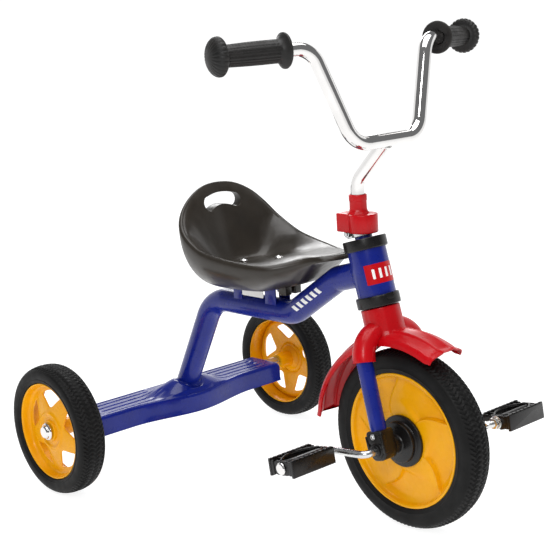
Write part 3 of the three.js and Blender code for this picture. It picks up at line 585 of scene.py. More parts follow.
def make_bracket():
    half, sheet = 15, 2.5
    low, top = 281, 307.6
    parts = [slab(172, 272, -half, half, top - sheet, top, 0.8, 3)]
    for y in (-half + sheet, half):
        for back, front in ((172, 191), (243, 266)):
            corners = [(back, low, 0), (front, low, 0), (front, top - 0.6, 2), (back, top - 0.6, 2)]
            outline = rounded(corners, 1)
            parts.append(standing(prism(outline, 0, sheet, 0.7), y))
    piece("seat_bracket_sheet", joined(*parts), TRIKE, "frame", "frame_blue", ["seat_bracket"])
    plate = prism(rounded([(193, 289), (240, 289), (240, 304), (193, 304)], 1.5), 0, 0.8, 0.25)
    piece("blank_plate", standing(plate, -half + 0.2), TRIKE, "frame", "frame_blue", material=WHITE)


HEAD_LOW, HEAD_HIGH = 187, 274


def bush(up):
    """A black cap over an end of the head tube, lipped at its open edge."""
    profile = [(12.4, 3.4, 0), (16, 3.4, 0.5), (17, 2.6, 0.5), (24, 2.6, 0.5), (25, 3.4, 0.5), (30, 3.4, 1.6),
               (30, -10.6, 0.6), (29.4, -11.2, 0.3), (29.4, -12, 0.5), (26.9, -12, 0.3), (26.9, -6, 0),
               (12.4, -6, 0)]
    end = HEAD_HIGH if up > 0 else HEAD_LOW
    return turned(rounded([(radius, end + up * depth, own) for radius, depth, own in profile], 0.5))


def bush_tab():
    """The U-shaped tab on the front of the lower bush."""
    outline = rounded([(-6, 3), (-6, -5.5, 5), (6, -5.5, 5), (6, 3)], 1.2, steps=6)
    return facing_front(prism(outline, 29.4, 30.9, 0.5), z=HEAD_LOW + 9.5)


def head_label(low, high, start, end, lift):
    """A thin label wrapped on the head tube between two heights and two angles from the front."""
    count = 24
    angles = [mix(start, end, k / count) for k in range(count + 1)]
    inner = [(math.cos(a) * (HEAD_RADIUS + 0.02), math.sin(a) * (HEAD_RADIUS + 0.02)) for a in angles]
    outer = [(math.cos(a) * (HEAD_RADIUS + lift), math.sin(a) * (HEAD_RADIUS + lift)) for a in angles]
    return skin([[(x, y, height) for x, y in inner + outer[::-1]] for height in (low, high)])


def make_head():
    low, high = HEAD_LOW + 2, HEAD_HIGH - 2
    tube = turned(rounded([(HEAD_RADIUS, low), (HEAD_RADIUS, high), (24.5, high), (24.5, low)], 0.4))
    piece("head_tube_body", tube, FORK, "frame", "frame_blue", ["head_tube"])
    piece("head_bush_top", bush(1), FORK, "frame", "hardware_black", ["head_bush_upper"])
    low_bush = joined(bush(-1), bush_tab().moved(Matrix.Rotation(-0.2, 4, "Z")))
    piece("head_bush_bottom", low_bush, FORK, "frame", "hardware_black", ["head_bush_lower"])
    piece("head_label_red", head_label(214, 241, -1.15, 1.15, 0.3), FORK, "frame", "fender_red")
    bars = [head_label(221, 234, at - 0.07, at + 0.07, 0.45) for at in (-0.72, -0.36, 0, 0.36, 0.72)]
    piece("head_label_bars", joined(*bars), FORK, "frame", "frame_blue", material=WHITE)


# ------------------------------------------------------------------ saddle
SEAT_MIDDLE = Vector((205, 0, 0))
SEAT_RIM = [(125, 0, 453), (129, 34, 449), (135, 65, 434), (144, 86, 414), (162, 98, 392), (200, 101.5, 371),
            (240, 98, 362), (281, 91, 357), (318, 79, 355), (341, 58, 358), (362, 41, 363), (390, 31, 367),
            (404, 0, 368)]
SEAT_BASE = 308
HAND_HOLE = {"z": 425, "reach": 25, "rise": 11}
SCREWS = (("rear", 184, 337), ("front", 262, 349))  # each one's place and its seat's height
SCREW_TIP = 294


def closed_curve(points, count):
    """Evenly spaced points on a smooth closed curve through the given ones."""
    fine = []
    size = len(points)
    for i in range(size):
        p0, p1, p2, p3 = (points[(i + k - 1) % size] for k in range(4))
        for k in range(24):
            t = k / 24
            fine.append(0.5 * (2 * p1 + (p2 - p0) * t + (2 * p0 - 5 * p1 + 4 * p2 - p3) * t ** 2
                               + (3 * p1 - p0 - 3 * p2 + p3) * t ** 3))
    lengths = [0]
    for a, b in zip(fine, fine[1:] + fine[:1]):
        lengths.append(lengths[-1] + (b - a).length)
    result = []
    k = 0
    for i in range(count):
        target = lengths[-1] * i / count
        while lengths[k + 1] < target:
            k += 1
        t = (target - lengths[k]) / (lengths[k + 1] - lengths[k])
        result.append(fine[k].lerp(fine[(k + 1) % len(fine)], t))
    return result


def pan_height(x):
    return 337 + 0.17 * max(0, x - 190)


def under_height(x):
    return min(SEAT_BASE + 0.22 * max(0, x - 277) + 0.55 * max(0, x - 330), 358)


def shell_under(x, edge, share):
    """The height of the saddle's bowl-shaped outside at a share of the way out to its rim."""
    rise = 1 - math.sqrt(1 - max(0, (share - 0.45) / 0.55) ** 2)
    return mix(under_height(x), edge - mix(7, 5, ease(360, 400, x)), rise)


def saddle_shape():
    """Rings from the pan's middle up to the rolled rim, over it and back under to the base."""
    left = [Vector(p) for p in SEAT_RIM]
    right = [Vector((x, -y, z)) for x, y, z in SEAT_RIM[1:-1]][::-1]
    rim = closed_curve(left + right, 180)

    def ring(share, height):
        row = []
        for edge in rim:
            point = SEAT_MIDDLE.lerp(edge, share)
            point.z = height(point.x, edge.z)
            row.append(point)
        return row

    rows = []
    for k in range(1, 9):
        rows.append(ring(0.05 * k, lambda x, edge: pan_height(x)))
    for k in range(1, 17):
        share = mix(0.4, 0.93, k / 16)
        rise = ease(0.42, 0.97, share)
        rows.append(ring(share, lambda x, edge: mix(pan_height(x), edge + 0.6, rise)))
    for k in range(1, 9):
        turn = math.pi * k / 9
        share = 0.968 - 0.036 * math.cos(turn)
        roll = 3.0 * math.sin(turn) - 3.4 * ease(1.2, math.pi, turn)
        rows.append(ring(share, lambda x, edge: edge - 1.6 + roll))
    for k in range(1, 23):
        share = 0.45 + 0.55 * math.cos(math.pi / 2 * k / 22)
        rows.append(ring(share, lambda x, edge: shell_under(x, edge, share)))
    rows.append(ring(0.2, lambda x, edge: under_height(x)))
    return skin(rows)


def hole_outline(steps=10):
    """The hand hole's arched slot, as (across, up) points."""
    reach = HAND_HOLE["reach"]
    rise = HAND_HOLE["rise"]
    shares = [k / steps for k in range(steps + 1)]
    ends = [math.pi * t - math.pi / 2 for t in shares[1:-1]]
    outline = []
    for t in shares:
        outline.append((mix(-reach, reach, t), -rise * (1 - t) ** 2 + 8 * t * (1 - t) - rise * t * t))
    outline += [(reach + rise * math.cos(a), rise * math.sin(a)) for a in ends]
    for t in shares:
        high = rise * (1 - t) ** 2 + 2 * t * (1 - t) * (rise + 7) + rise * t * t
        outline.append((mix(reach, -reach, t), high))
    return outline + [(-reach - rise * math.cos(a), -rise * math.sin(a)) for a in ends]


def make_saddle():
    obj = piece("saddle_shell", saddle_shape(), TRIKE, "frame", "seat_black", ["seat"], sharp=60)
    cutter = facing_front(prism(hole_outline(), 90, 175, 0), z=HAND_HOLE["z"])
    tool = mesh_object("hand_hole_cutter", cutter, TRIKE, SADDLE)
    add_modifier(obj, "BOOLEAN", operation="DIFFERENCE", solver="EXACT", object=tool)
    add_modifier(obj, "BEVEL", width=0.0022, segments=4, limit_method="ANGLE", angle_limit=math.radians(55))
    settled(obj)
    bpy.data.objects.remove(tool)
    obj.data.shade_smooth()
    ribs = [slab(274, 290, y, y + 13, 298.5, 318, 1.2, 2) for y in (-16, 3)]
    piece("saddle_nose_block", joined(*ribs), TRIKE, "frame", "seat_black")
    for name, x, head in SCREWS:
        along = Matrix.Translation((x, 0, head))
        profile = [(0, 1.2), (2.2, 1.2), (2.4, 3.3), (4.5, 3.4), (6.4, 1.9), (6.6, 0.2), (3.2, -0.2),
                   (3.2, SCREW_TIP - head), (0, SCREW_TIP - head)]
        bolt = turned(rounded(profile, 0.35, closed=False), 48, closed=False)
        piece("saddle_screw_" + name, bolt.moved(along), TRIKE, "frame", "chrome", ["seat_bolt_" + name])
        washer = turned(rounded([(3.4, 0.1), (9.2, -0.3), (9.2, -1.6), (3.4, -1.6)], 0.3), 48)
        piece("saddle_cup_" + name, washer.moved(along), TRIKE, "frame", "seat_black")


# ------------------------------------------------------------------ wheels
TREAD_CUT = 1.7
SCOOP_DEPTH = 4.6
WINDOW = {"inner": 37, "outer": 59, "half_in": 0.07, "half_out": 0.44, "columns": 8}


def tread_depth(around, across, width):
    """The herringbone groove's depth, 0 to 1, at a place: around in pitches, across in millimetres."""
    zone = 6.5
    fold = abs(((abs(across) / zone) % 2) - 1)
    phase = (around + 0.9 * fold) % 1
    groove = 1 - ease(0.16, 0.3, abs(phase - 0.5))
    rim_line = 1 - ease(0.3, 0.8, abs(abs(across) - zone * 0.02))
    return max(groove, 0.6 * rim_line) * (1 - ease(width - 3, width, abs(across)))


def tyre(radius, seat, pitches, samples=6):
    """A tyre about Z with a herringbone tread cut into its crown and shoulders."""
    half = 22.5
    height = radius - seat
    wall = [(seat, half - 3.2), (seat + 1.2, half - 1.9)]
    wall += [(seat + share * height, half - in_by) for share, in_by in
             ((0.12, 1.5), (0.2, 0.3), (0.24, 0.9), (0.4, 0), (0.56, 0.2))]
    crown = []
    count = 26
    for k in range(count + 1):
        angle = mix(0.15, math.pi - 0.15, k / count)
        lift = seat + height * (0.56 + 0.44 * math.sin(angle) ** 0.72)
        crown.append((lift, (half - 0.7) * math.cos(angle)))

    def cut(r, h, turn):
        depth = TREAD_CUT * tread_depth(turn / (2 * math.pi) * pitches, h, 20)
        return r - (depth if r > seat + 0.6 * height else 0), h

    profile = wall + crown + [(r, -h) for r, h in reversed(wall)]
    return skin(rows_about_z(profile, pitches * samples, cut), closed_rows=True)


def lobe_relief(radius, turn):
    """The front disc's swirl: five scoops, each deepest beside the thin ridge that it starts from."""
    ridge_turn = math.radians(mix(49, 24, ease(36, 92, radius)))
    phase = ((turn - ridge_turn) * 5 / (2 * math.pi)) % 1
    near = min(phase, 1 - phase) * radius * 2 * math.pi / 5
    inner = 41 + 15 * ease(0, 0.85, phase)
    scoop = (1 - phase / 0.84) if phase < 0.84 else 0
    mask = ease(inner - 3, inner + 5, radius) * (1 - ease(79, 87, radius))
    ridge = (1 - ease(0.5, 1.7, near)) * ease(36, 41, radius) * (1 - ease(84, 88, radius))
    return 1.2 * ridge - SCOOP_DEPTH * scoop ** 0.9 * ease(0.0, 2.2, near) * mask


def front_disc():
    """Both faces of the front wheel's moulding, with its lip, and the barrel between them."""
    face = [(94, 18.6), (93.6, 19.6), (92.6, 19.9), (91.2, 19.8), (90.2, 19.1), (89.4, 17.2), (88.6, 14.6),
            (87.6, 12.4), (86.2, 11.2), (84, 10.7)]
    face += [(mix(82, 37, k / 26), mix(10.8, 15, ease(0, 1, k / 26))) for k in range(27)]
    face += [(30, 15.2), (23, 15)]
    rows = rows_about_z(face, 450, lambda r, h, turn: (r, h + lobe_relief(r, turn)))
    mirror = [[(x, y, -z) for x, y, z in row] for row in reversed(rows)]
    return skin(rows + mirror, closed_rows=True)


def flange(sign):
    profile = [(5.4, 1, 0), (22.6, 1, 0), (22.6, 15.6, 0), (36, 15.6, 0.4), (36, 19.2, 1), (34.6, 19.8, 0.5),
               (29, 20.6, 0.8), (28, 22, 0.6), (28, 27.4, 1.2), (26.5, 28.2, 0.6), (14, 30, 1.5),
               (12.6, 31.5, 0.8), (12, 41.5, 0.6), (5.4, 41.5, 0)]
    return lathed(profile, sign, 0.5)


def make_front_wheel():
    tread = alongside(tyre(125, 94.4, 112))
    piece("front_tyre_tread", tread, WHEEL, "front_wheel", "tyre_rubber", ["front_tyre"], sharp=40)
    disc = alongside(front_disc())
    piece("front_disc", disc, WHEEL, "front_wheel", "wheel_yellow", ["front_rim"], sharp=40)
    for name, sign in SIDES:
        piece("hub_" + name, flange(sign), WHEEL, "front_wheel", "hardware_black", ["hub_flange_" + name])


def rear_face(sign):
    """The web with its five windows, the lip and the barrel, as one sheet before it is thickened."""
    rings = [(19, 12.5), (23.4, 12.6), (25.2, 14.6), (26.8, 15.6), (28.4, 14.8), (30, 13), (33.5, 12.2),
             (37, 11.4), (42, 10.2), (48, 8.9), (54, 7.7), (59, 6.8), (64, 6.2), (68, 6.4), (70.2, 8.6),
             (71.2, 13), (71.8, 17.6), (73, 19.2), (74.9, 19.4), (74.9, 8), (74.9, -8), (74.9, -18.6),
             (73.6, -19.4), (72.2, -18.6)]
    columns = WINDOW["columns"]
    sector = 2 * math.pi / 5
    rows = []
    for r, h in rings:
        share = min(1, max(0, (r - WINDOW["inner"]) / (WINDOW["outer"] - WINDOW["inner"])))
        half = mix(WINDOW["half_in"], WINDOW["half_out"], share ** 0.7)
        row = []
        for s in range(5):
            middle = math.pi / 2 + sector * s
            for k in range(2 * columns):
                if k < columns:
                    away = mix(-half, half, k / columns)
                else:
                    away = mix(half, sector - half, (k - columns) / columns)
                turn = middle + away
                rise = 0.8 * math.cos(away * 5) * ease(28, 40, r) * (1 - ease(60, 68, r))
                reach = r
                if r == WINDOW["outer"] and k < columns:
                    reach += 3.5 * (1 - abs(away) / half)
                row.append((reach * math.cos(turn), reach * math.sin(turn), sign * (h - rise)))
        rows.append(row)
    sheet = skin(rows, caps=False)
    count = len(rows[0])
    low = [r for r, _ in rings].index(WINDOW["inner"])
    high = [r for r, _ in rings].index(WINDOW["outer"])
    kept = []
    for face in sheet.faces:
        row, column = divmod(min(face[0], face[3]), count)
        if low <= row < high and column % (2 * columns) < columns:
            continue
        kept.append(face)
    return Shape(sheet.verts, kept)


def make_rear_wheel(name, sign):
    wheel = joint_frame(f"rear_wheel_{name}_spin")
    body = "rear_wheel_" + name
    piece("rear_tread_" + name, alongside(tyre(100, 75.4, 90)), wheel, body, "tyre_rubber",
          ["rear_tyre_" + name], sharp=40)
    obj = piece("rear_disc_" + name, alongside(rear_face(sign)), wheel, body, "wheel_yellow",
                ["rear_rim_" + name])
    add_modifier(obj, "SOLIDIFY", thickness=0.0026, offset=-1)
    add_modifier(obj, "SUBSURF", levels=2, render_levels=2)
    settled(obj)
    obj.data.shade_smooth()
    hub = [(5.4, -22, 0.3), (12.6, -22, 1), (14.6, 4, 1), (22, 9.4, 1), (22, 12.4, 0.6), (17, 13, 0.6),
           (16, 17, 1), (5.4, 17, 0.3)]
    piece("rear_boss_" + name, lathed(hub, sign, 0.5), wheel, body, "wheel_yellow")


def make_rear_axle():
    axle = Matrix.Translation((REAR_X, 0, JOINTS["rear_wheel_left_spin"]["pos_m"][2])) @ MM
    rod = lathed([(0, -262, 0), (5, -262, 1), (5, 262, 1), (0, 262, 0)], 1, 1, 40, closed=False)
    piece("rear_axle_rod", rod, axle, "frame", "zinc", ["rear_axle"])
    for name, sign in SIDES:
        spacer = lathed([(5.4, 190.4), (9, 190.4), (9, 215.6), (5.4, 215.6)], sign, 0.5, 48)
        piece("spacer_" + name, spacer, axle, "frame", "zinc", ["axle_spacer_" + name])
        profile = [(0, 262), (5.4, 262), (5.4, 257), (13.2, 257), (13.5, 258.6), (12.2, 260), (10.6, 260.6),
                   (10, 262.6), (8.2, 264.4), (5, 264.9), (0, 265)]
        cap = lathed(profile, sign, 0.7, 64, closed=False)
        piece("hub_cap_" + name, cap, axle, "frame", "chrome", ["axle_cap_" + name])


# ------------------------------------------------------------------ fork
BLADE_RADIUS = 11
SCREW_RISE = 19  # the bearing screws above the crank


def blade_path(sign, out_at_top=6.0, low=13.0):
    """A blade's centreline, from beside the steerer out over its shoulder and down to a height."""
    foot = mix(51, 55.5, (150 - low) / (150 - 13))
    return bent([(0, sign * out_at_top, 150), (0, sign * 51, 150), (0, sign * foot, low)], 35)


def along_y(outline, start, end, bevel):
    """An outline in XZ raised along Y between two places."""
    return alongside(prism(outline, min(start, end), max(start, end), bevel))


def round_y(radius, start, end, x=0, z=0, bevel=0.5, sides=40):
    outline = [(x + radius * math.cos(a), z + radius * math.sin(a)) for a in circle(sides)]
    return along_y(outline, start, end, bevel)


def hex_y(radius, start, end, x=0, z=0):
    outline = [(x + radius * math.cos(a), z + radius * math.sin(a)) for a in circle(6)]
    return along_y(rounded(outline, 0.5), start, end, 0.5)


def bearing(sign):
    """A bearing housing: a rounded block with a collar round the crank and a raised rib."""
    corners = [(-14.5, -6, 9), (-9, -14.4, 9), (9, -14.4, 9), (14.5, -6, 9), (14.5, 26, 6), (-14.5, 26, 6)]
    parts = [along_y(rounded(corners, 6, steps=6), sign * 42.8, sign * 66.5, 1.6)]
    panel = rounded([(-10, 9), (10, 9), (11, 23), (-11, 23)], 3)
    parts.append(along_y(panel, sign * 66, sign * 68, 0.6))
    for radius, start, end, bevel in ((11.2, 62, 68.5, 1.2), (8.0, 67, 71, 1.0), (12.4, 40.6, 44, 0.8)):
        parts.append(round_y(radius, sign * start, sign * end, bevel=bevel))
    for x in (-13.2, 13.2):
        rib = rounded([(x - 2.4, -4), (x + 2.4, -4), (x + 2.4, 20), (x - 2.4, 20)], 1.5)
        parts.append(along_y(rib, sign * 60, sign * 68, 0.6))
    return joined(*parts)


def make_fork():
    stub = turned(rounded([(12, 142), (12, 303), (10, 303), (10, 142)], 0.4), 64)
    piece("steerer", stub, FORK, "steering", "frame_blue", ["steerer_tube"])
    for name, sign in SIDES:
        blade = swept(refined(blade_path(sign), 6), BLADE_RADIUS, 40)
        piece("blade_" + name, blade, FORK, "steering", "frame_blue", ["fork_blade_" + name])
        piece("bearing_" + name, bearing(sign), FORK, "steering", "hardware_black", ["crank_bearing_" + name])
        head = round_y(3.9, sign * 68.2, sign * 70, z=SCREW_RISE, bevel=0.8)
        head = joined(head, hex_y(2.4, sign * 69.6, sign * 70.9, z=SCREW_RISE))
        piece("bearing_screw_" + name, head, FORK, "steering", "zinc", ["bearing_bolt_" + name])


# ------------------------------------------------------------------ fender
CROWN = 150
FENDER_FRONT, FENDER_BACK = 61, 176
FENDER_WALL = 2.2
FENDER_SIDE = [(0, 0.2), (8.6, 0), (10.2, -0.9), (11.8, 0.2), (13.4, 2.2), (16, 2.7), (24.5, 4.9),
               (28.5, 7.2), (31, 11), (32, 16.5)]  # across, and down from the crown


def fender_section(inset_by):
    """(across, below the crown) from edge to edge, moved inward by the wall."""
    half = rounded([(y, -drop) for y, drop in FENDER_SIDE], 1.2, closed=False, steps=2)
    line = [Vector((-x, z)) for x, z in reversed(half[1:])] + [Vector(p) for p in half]
    result = []
    for i, point in enumerate(line):
        along = (line[min(i + 1, len(line) - 1)] - line[max(i - 1, 0)]).normalized()
        result.append(point + Vector((along.y, -along.x)) * inset_by)
    return result


def fender_arch():
    """The arch, standing further off the wheel towards its back and flared at both ends."""
    section = fender_section(0) + fender_section(FENDER_WALL)[::-1]
    rows = []
    count = 110
    for i in range(count + 1):
        share = i / count
        turn = math.radians(mix(FENDER_FRONT, FENDER_BACK, share))
        flare = 3.2 * (1 - ease(0, 0.035, share)) + 1.4 * (1 - ease(0, 0.02, 1 - share))
        base = CROWN + 8 * ease(0.55, 1, share)
        rows.append([((base + p.y + flare) * math.cos(turn), p.x, (base + p.y + flare) * math.sin(turn))
                     for p in section])
    return skin(rows)


def clear_of_wheel(point):
    """Moves a point that would lie in the wheel's space out to the middle of the arch's wall."""
    across = abs(point.y)
    if across > 31.5:
        return point
    drop = 16.5
    for (y0, d0), (y1, d1) in zip(FENDER_SIDE, FENDER_SIDE[1:]):
        if y0 <= across <= y1:
            drop = mix(d0, d1, (across - y0) / (y1 - y0))
            break
    limit = CROWN - drop - FENDER_WALL / 2
    reach = math.hypot(point.x, point.z)
    if reach >= limit or point.z < 60:
        return point
    return Vector((point.x * limit / reach, point.y, point.z * limit / reach))


def sleeve():
    """The fender's collar round the steerer, fluted at the front and flared at its foot."""
    levels = [(31, 136), (28.6, 142), (27.2, 150), (26.8, 160), (26.6, 174), (26.6, 181.4), (26, 182.4),
              (22, 182.4)]

    def fluted(r, h, turn):
        front = abs(math.remainder(turn, 2 * math.pi))
        flute = 1.1 * (1 - ease(0.05, 0.12, abs(front - 0.62)))
        flute += 0.8 * (1 - ease(0.04, 0.1, abs(front - 1.45)))
        return r + (0.4 * flute if r > 25 else 0), h

    return skin(rows_about_z(rounded(levels, 2, closed=False, steps=3), 120, fluted), caps=False)


def pocket(sign):
    """A pocket over a blade's shoulder, open at its foot."""
    path = refined(blade_path(sign, 4, 118), 3)
    radius, sides = 15.4, 48
    outer = swept(path, lambda t: radius + 1.4 * (1 - ease(0, 0.5, t)), sides, caps=False)
    inner = swept(path, radius - FENDER_WALL, sides, caps=False)
    return walled(outer, inner, sides, [len(outer.verts) - sides])


def make_fender():
    lean = Matrix.Rotation(-LEAN, 4, "Y")
    leaning = joined(sleeve(), pocket(1), pocket(-1)).moved(lean).bent(clear_of_wheel)
    shape = joined(fender_arch(), leaning)
    piece("fender_moulding", shape, WHEEL, "steering", "fender_red", ["fender"], sharp=45)


# ------------------------------------------------------------------ stem, cover and handlebar
STEM_RADIUS = 9.5
GRIP_AT = (143, 231)
HIGH = Vector((466, 108, 653))
SWEEP = Vector((-0.284, 1, -0.02))


def axis_point(distance):
    return Vector((WHEEL_X - distance * math.sin(LEAN), 0, WHEEL_Z + distance * math.cos(LEAN)))


STEM_X = axis_point(308).x
GRIP_START = HIGH + SWEEP * (GRIP_AT[0] - HIGH.y)
GRIP_END = HIGH + SWEEP * (GRIP_AT[1] - HIGH.y)


def mirrored(point):
    return Vector((point.x, -point.y, point.z))


def cover_outline():
    """Seen from above: a box to the rear and a round lobe in front, about the stem."""
    box = [(-1, 15, 0), (-28.5, 15, 1.2), (-28.5, -15, 1.2), (-1, -15, 0)]
    outline = rounded(box, 1.2)
    centre, lobe = 8, 20
    meet = math.asin(15.6 / lobe)
    for k in range(33):
        angle = mix(-math.pi + meet, math.pi - meet, k / 32)
        outline.append((centre + lobe * math.cos(angle), lobe * math.sin(angle)))
    return outline


def make_cover():
    low, shoulder, high = 402, 427.5, 453.5
    body = prism(cover_outline(), low, shoulder, 1.4)
    sides = 8
    levels = [(17.5, shoulder - 1), (15.2, shoulder + 0.6), (13.2, shoulder + 3), (12.2, shoulder + 6),
              (12.0, high - 9), (12.6, high - 8.2), (12.6, high - 1), (11.8, high), (10.3, high)]

    def faceted(r, h, turn):
        cell = (turn + math.pi / sides) % (2 * math.pi / sides) - math.pi / sides
        facet = math.cos(math.pi / sides) / math.cos(cell)
        return r * mix(1, facet * 1.03, 0.55 if r > 11 else 0), h

    neck = skin(rows_about_z(rounded(levels, 0.7, closed=False, steps=2), 96, faceted), caps=False)
    shape = joined(body, neck).moved(Matrix.Translation((STEM_X, 0, 0)))
    piece("stem_cover_moulding", shape, TRIKE, "steering", "fender_red", ["stem_cover"])
    ring = turned(rounded([(12.4, 281), (15, 281), (15, 296), (12.4, 296)], 0.6), 64)
    ears = [slab(-26.5, -10, y, y + 3.2, 281, 296, 0.5, 1.2) for y in (1.8, -5)]
    piece("clamp_band", joined(ring, *ears), FORK, "steering", "zinc", ["clamp_collar"])
    screw = (-22, 288)  # its place behind the steerer, and its height
    bolt = joined(round_y(3, -11, 9, *screw, 0.5, 24), hex_y(5.4, 5.6, 9.2, *screw))
    piece("clamp_screw", bolt, FORK, "steering", "zinc", ["clamp_bolt"])
    piece("clamp_hex", hex_y(5.4, -9.2, -5.6, *screw), FORK, "steering", "zinc", ["clamp_nut"])


def make_handlebar():
    lowest = Vector((STEM_X, 0, 470))
    top = Vector((483.6, 0, 524.6))
    bar = Vector((487, 61, 528))
    stem = swept(refined(bent([axis_point(262), axis_point(308), lowest, top], 30), 6), STEM_RADIUS, 40)
    piece("stem_tube", stem, TRIKE, "steering", "chrome", ["handlebar_stem"])
    half = [GRIP_START.lerp(GRIP_END, 0.93), HIGH, bar]
    path = refined(bent(half + [mirrored(p) for p in reversed(half)], [32, 34, 34, 32], 2), 6)
    piece("handlebar_tube", swept(path, STEM_RADIUS, 40), TRIKE, "steering", "chrome", ["handlebar"])
    along = (top - lowest).normalized()

    def in_bar(point):
        return math.hypot(point.x - bar.x, point.z - bar.z) < STEM_RADIUS

    weld = weld_bead(top, along, STEM_RADIUS, in_bar, lambda i, point: 1.5, 48, 10)
    piece("stem_weld", weld, TRIKE, "steering", "chrome")


def grip_shape():
    """A moulded grip about Z: dished flange, dimpled upper half, ribs below and a ribbed mushroom end."""
    length = (GRIP_END - GRIP_START).length
    profile = [(9.9, 3), (13, 1.6), (18, -0.2), (21.6, -1), (22.5, 0.4), (22.3, 2.2), (19.6, 4.2), (17, 6.4),
               (15.4, 9)]
    count = 60
    for k in range(count + 1):
        t = k / count
        profile.append((mix(14.8, 13.6, t) + 0.5 * math.sin(math.pi * t), mix(11, length - 8, t)))
    profile += [(radius, length - before) for radius, before in
                ((14.4, 7.4), (18, 7), (22, 6.4), (24, 4.4), (24.5, 1.8))]
    for k in range(1, 14):
        a = math.pi / 2 * k / 14
        profile.append((24.5 * math.cos(a), length - 1.8 + 14.6 * math.sin(a)))
    profile.append((0.01, length + 12.8))

    def moulded(r, h, turn):
        ribs = max(0, math.sin(turn * 24))
        change = 0
        if 12 < h < length - 9 and r < 16:
            if math.cos(turn) > -0.1:
                change = 0.9 * max(0, math.sin(h * math.pi / 2.1)) * max(0, math.sin(turn * 18))
            else:
                change = 0.8 * ribs
        elif h > length - 6 and r > 9:
            change = ribs * ease(9, 14, r)
        return r - change, h

    return skin(rows_about_z(profile, 144, moulded), caps=False)


def make_grips():
    for name, sign in SIDES:
        start, end = (GRIP_START, GRIP_END) if sign > 0 else (mirrored(GRIP_START), mirrored(GRIP_END))
        along = (end - start).normalized()
        up = (UP - along * along.z).normalized()
        turn = Matrix((up, along.cross(up), along)).transposed().to_4x4()
        turn.translation = start
        shape = grip_shape().moved(turn)
        piece("grip_rubber_" + name, shape, TRIKE, "steering", "grip_rubber", ["grip_" + name], sharp=45)


# ------------------------------------------------------------------ crank and pedals
def pin(sign):
    """The pedal pin's place in the front wheel's frame."""
    place = WHEEL.inverted() @ Vector(JOINTS[f"pedal_{'left' if sign > 0 else 'right'}_spin"]["pos_m"])
    return Vector((place.x, 0, place.z))


def make_crank():
    half = {sign: [pin(sign) + ACROSS * (sign * 180), pin(sign) + ACROSS * (sign * 90), ACROSS * (sign * 89)]
            for _, sign in SIDES}
    path = refined(bent(half[1] + half[-1][::-1], 11, 0.8), 5)
    piece("crank", swept(path, 5, 28), WHEEL, "front_wheel", "zinc", ["crank_rod"])
    for name, sign in SIDES:
        place = WHEEL @ Matrix.Translation(pin(sign))
        profile = [(5.4, 101.5), (8.5, 101.5), (8.5, 103.4), (9.6, 104), (9.6, 105.4), (5.4, 105.4)]
        collar = joined(lathed(profile, sign, 0.3, 40), hex_y(8.2, sign * 97.6, sign * 101.2))
        piece("pedal_nut_" + name, collar, place, "front_wheel", "zinc", ["pedal_collar_" + name])
        profile = [(0, 182), (5.4, 182), (5.4, 181), (8.2, 181), (8.4, 182), (8.1, 183), (6.6, 184.2),
                   (3.5, 184.6), (0, 184.7)]
        dome = lathed(profile, sign, 0.4, 40, closed=False)
        piece("pedal_dome_" + name, dome, place, "front_wheel", "chrome", ["pedal_cap_" + name])


PEDAL_IN, PEDAL_OUT, PEDAL_HALF = 105.5, 182, 23.5


def pedal_plate(side):
    """One long side of a pedal, nubbed along its upper edge."""
    outline = [(PEDAL_IN, -11.4), (PEDAL_OUT, -11.4)]
    teeth = 9
    for k in range(teeth):
        start = mix(PEDAL_OUT, PEDAL_IN, k / teeth)
        end = mix(PEDAL_OUT, PEDAL_IN, (k + 1) / teeth)
        outline += [(mix(start, end, t), high)
                    for t, high in ((0, 12), (0.62, 12), (0.7, 10.9), (0.94, 10.9))]
    plate = prism(rounded(outline, 0.5, steps=2), 0, 4.2, 0.6)
    return facing_front(plate, PEDAL_HALF - 4.2 if side > 0 else -PEDAL_HALF)


def pedal_rib(side, level):
    """A bowed rib between a pedal's ends, with the short struts that tie it to its plate."""
    def place(t):
        bow = 3 + 16.4 * math.sin(math.pi * t) ** 0.8
        return Vector((side * bow, mix(PEDAL_IN + 3, PEDAL_OUT - 5, t), level))

    parts = [swept([place(k / 24) for k in range(25)], 1.5, 12)]
    for k in range(1, 8):
        at = place(k / 8)
        near, far = sorted((at.x, side * 20))
        parts.append(slab(near, far, at.y - 0.9, at.y + 0.9, level - 1.2, level + 1, 0.3, 0.4))
    return joined(*parts)


def pedal_shape():
    """A moulded pedal about its pin: two plates, an eye of ribs, and a boss between end webs."""
    parts = []
    for side in (1, -1):
        parts.append(pedal_plate(side))
        for y in (PEDAL_IN + 0.6, PEDAL_OUT - 3.2):
            near, far = sorted((side * 14, side * 22))
            parts.append(slab(near, far, y, y + 2.6, -9, 10, 0.6, 0.8))
        parts += [pedal_rib(side, level) for level in (-9.6, 9.2)]
    web = [(-20, -5), (-9, -9.5), (9, -9.5), (20, -5), (20, 6), (9, 9.8), (-9, 9.8), (-20, 6)]
    for y in (PEDAL_IN + 0.5, PEDAL_OUT - 5.5):
        parts.append(along_y(rounded(web, 1.5), y, y + 4, 0.6))
    parts.append(pipe([ACROSS * (PEDAL_IN + 0.5), ACROSS * (PEDAL_OUT - 1.5)], 8.2, 2.8, 48))
    return joined(*parts)


def make_pedals():
    pitch = Matrix.Rotation(-math.radians(7.4), 4, "Y")
    for name, sign in SIDES:
        turn = Matrix.Identity(4) if sign > 0 else Matrix.Rotation(math.pi, 4, "Z")
        place = WHEEL @ Matrix.Translation(pin(sign)) @ pitch @ turn
        piece("pedal_moulding_" + name, pedal_shape(), place, f"pedal_{name}_body", "hardware_black",
              ["pedal_" + name])


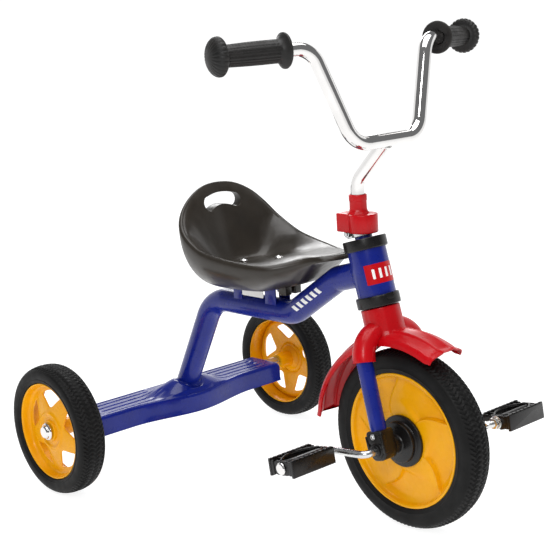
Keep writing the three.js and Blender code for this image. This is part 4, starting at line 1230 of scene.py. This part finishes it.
# ------------------------------------------------------------------ stage, light and camera
def make_stage():
    """A white floor that curves up into a wall on the far side of the tricycle."""
    far_side = math.radians(138)
    profile = ((0.0, 0), (0.5, 0), (1.2, 0), (3, 0), (7, 0), (10, 0.6), (12, 2), (13, 4), (13.5, 8))

    def coved(radius, height, turn):
        return radius, height * ease(-0.1, 0.5, math.cos(turn - far_side)) - 0.0004

    shape = skin(rows_about_z(profile, 48, coved), caps=False)
    floor = bpy.data.materials.new("pale_floor")
    floor.use_nodes = True
    shader = floor.node_tree.nodes["Principled BSDF"]
    for key, value in (("Base Color", (0.4, 0.4, 0.4, 1)), ("Roughness", 0.9), ("Specular IOR Level", 0.1),
                       ("Emission Color", (1, 1, 1, 1)), ("Emission Strength", 0.88)):
        shader.inputs[key].default_value = value
    mesh_object("floor", shape, Matrix.Identity(4), floor)


def soft_light(name, place, target, size, power):
    light = bpy.data.lights.new(name, "AREA")
    light.shape = "RECTANGLE"
    light.size, light.size_y = size
    light.energy = power
    obj = bpy.data.objects.new(name, light)
    obj.location = place
    obj.rotation_euler = (Vector(target) - Vector(place)).to_track_quat("-Z", "Y").to_euler()
    bpy.context.scene.collection.objects.link(obj)


def make_light():
    world = bpy.data.worlds.new("studio")
    world.use_nodes = True
    background = world.node_tree.nodes["Background"]
    background.inputs["Color"].default_value = (0.97, 0.98, 1, 1)
    background.inputs["Strength"].default_value = 0.2
    bpy.context.scene.world = world
    bpy.context.scene.view_settings.view_transform = "Standard"
    soft_light("overhead", (0.2, 0.1, 2.6), (0, 0, 0), (2.2, 2.2), 52)
    soft_light("key", (1.6, -1.9, 1.9), (0, 0, 0.25), (0.7, 1.3), 30)
    soft_light("rim", (-2.2, 1.8, 1.8), (0, 0, 0.3), (1.4, 0.9), 22)


def make_camera():
    """A long lens from the front right, a little above the handlebar."""
    camera = bpy.data.cameras.new("view")
    camera.sensor_width = 36
    camera.lens = 81.16
    obj = bpy.data.objects.new("view", camera)
    forward = Vector((-0.72766, 0.65519, -0.20308))
    right = Vector((0.67730, 0.73312, -0.06163))
    up = right.cross(forward)
    matrix = Matrix((right, up, -forward)).transposed().to_4x4()
    matrix.translation = (1.34242, -1.21182, 0.69198)
    obj.matrix_world = matrix
    bpy.context.scene.collection.objects.link(obj)
    bpy.context.scene.camera = obj


# ------------------------------------------------------------------ everything in order
make_tube()
make_step()
make_bracket()
make_head()
make_saddle()
make_rear_axle()
for side_name, side_sign in SIDES:
    make_rear_wheel(side_name, side_sign)
make_fork()
make_fender()
make_cover()
make_handlebar()
make_grips()
make_front_wheel()
make_crank()
make_pedals()
make_stage()
make_light()
make_camera()

for entry in frame["record"]["subparts"]:
    node = frame["nodes"][entry["node"]]
    if not node.hide_render:
        node.data.materials.clear()
        node.data.materials.append(SLOT_FINISH[entry["material_slot"]])
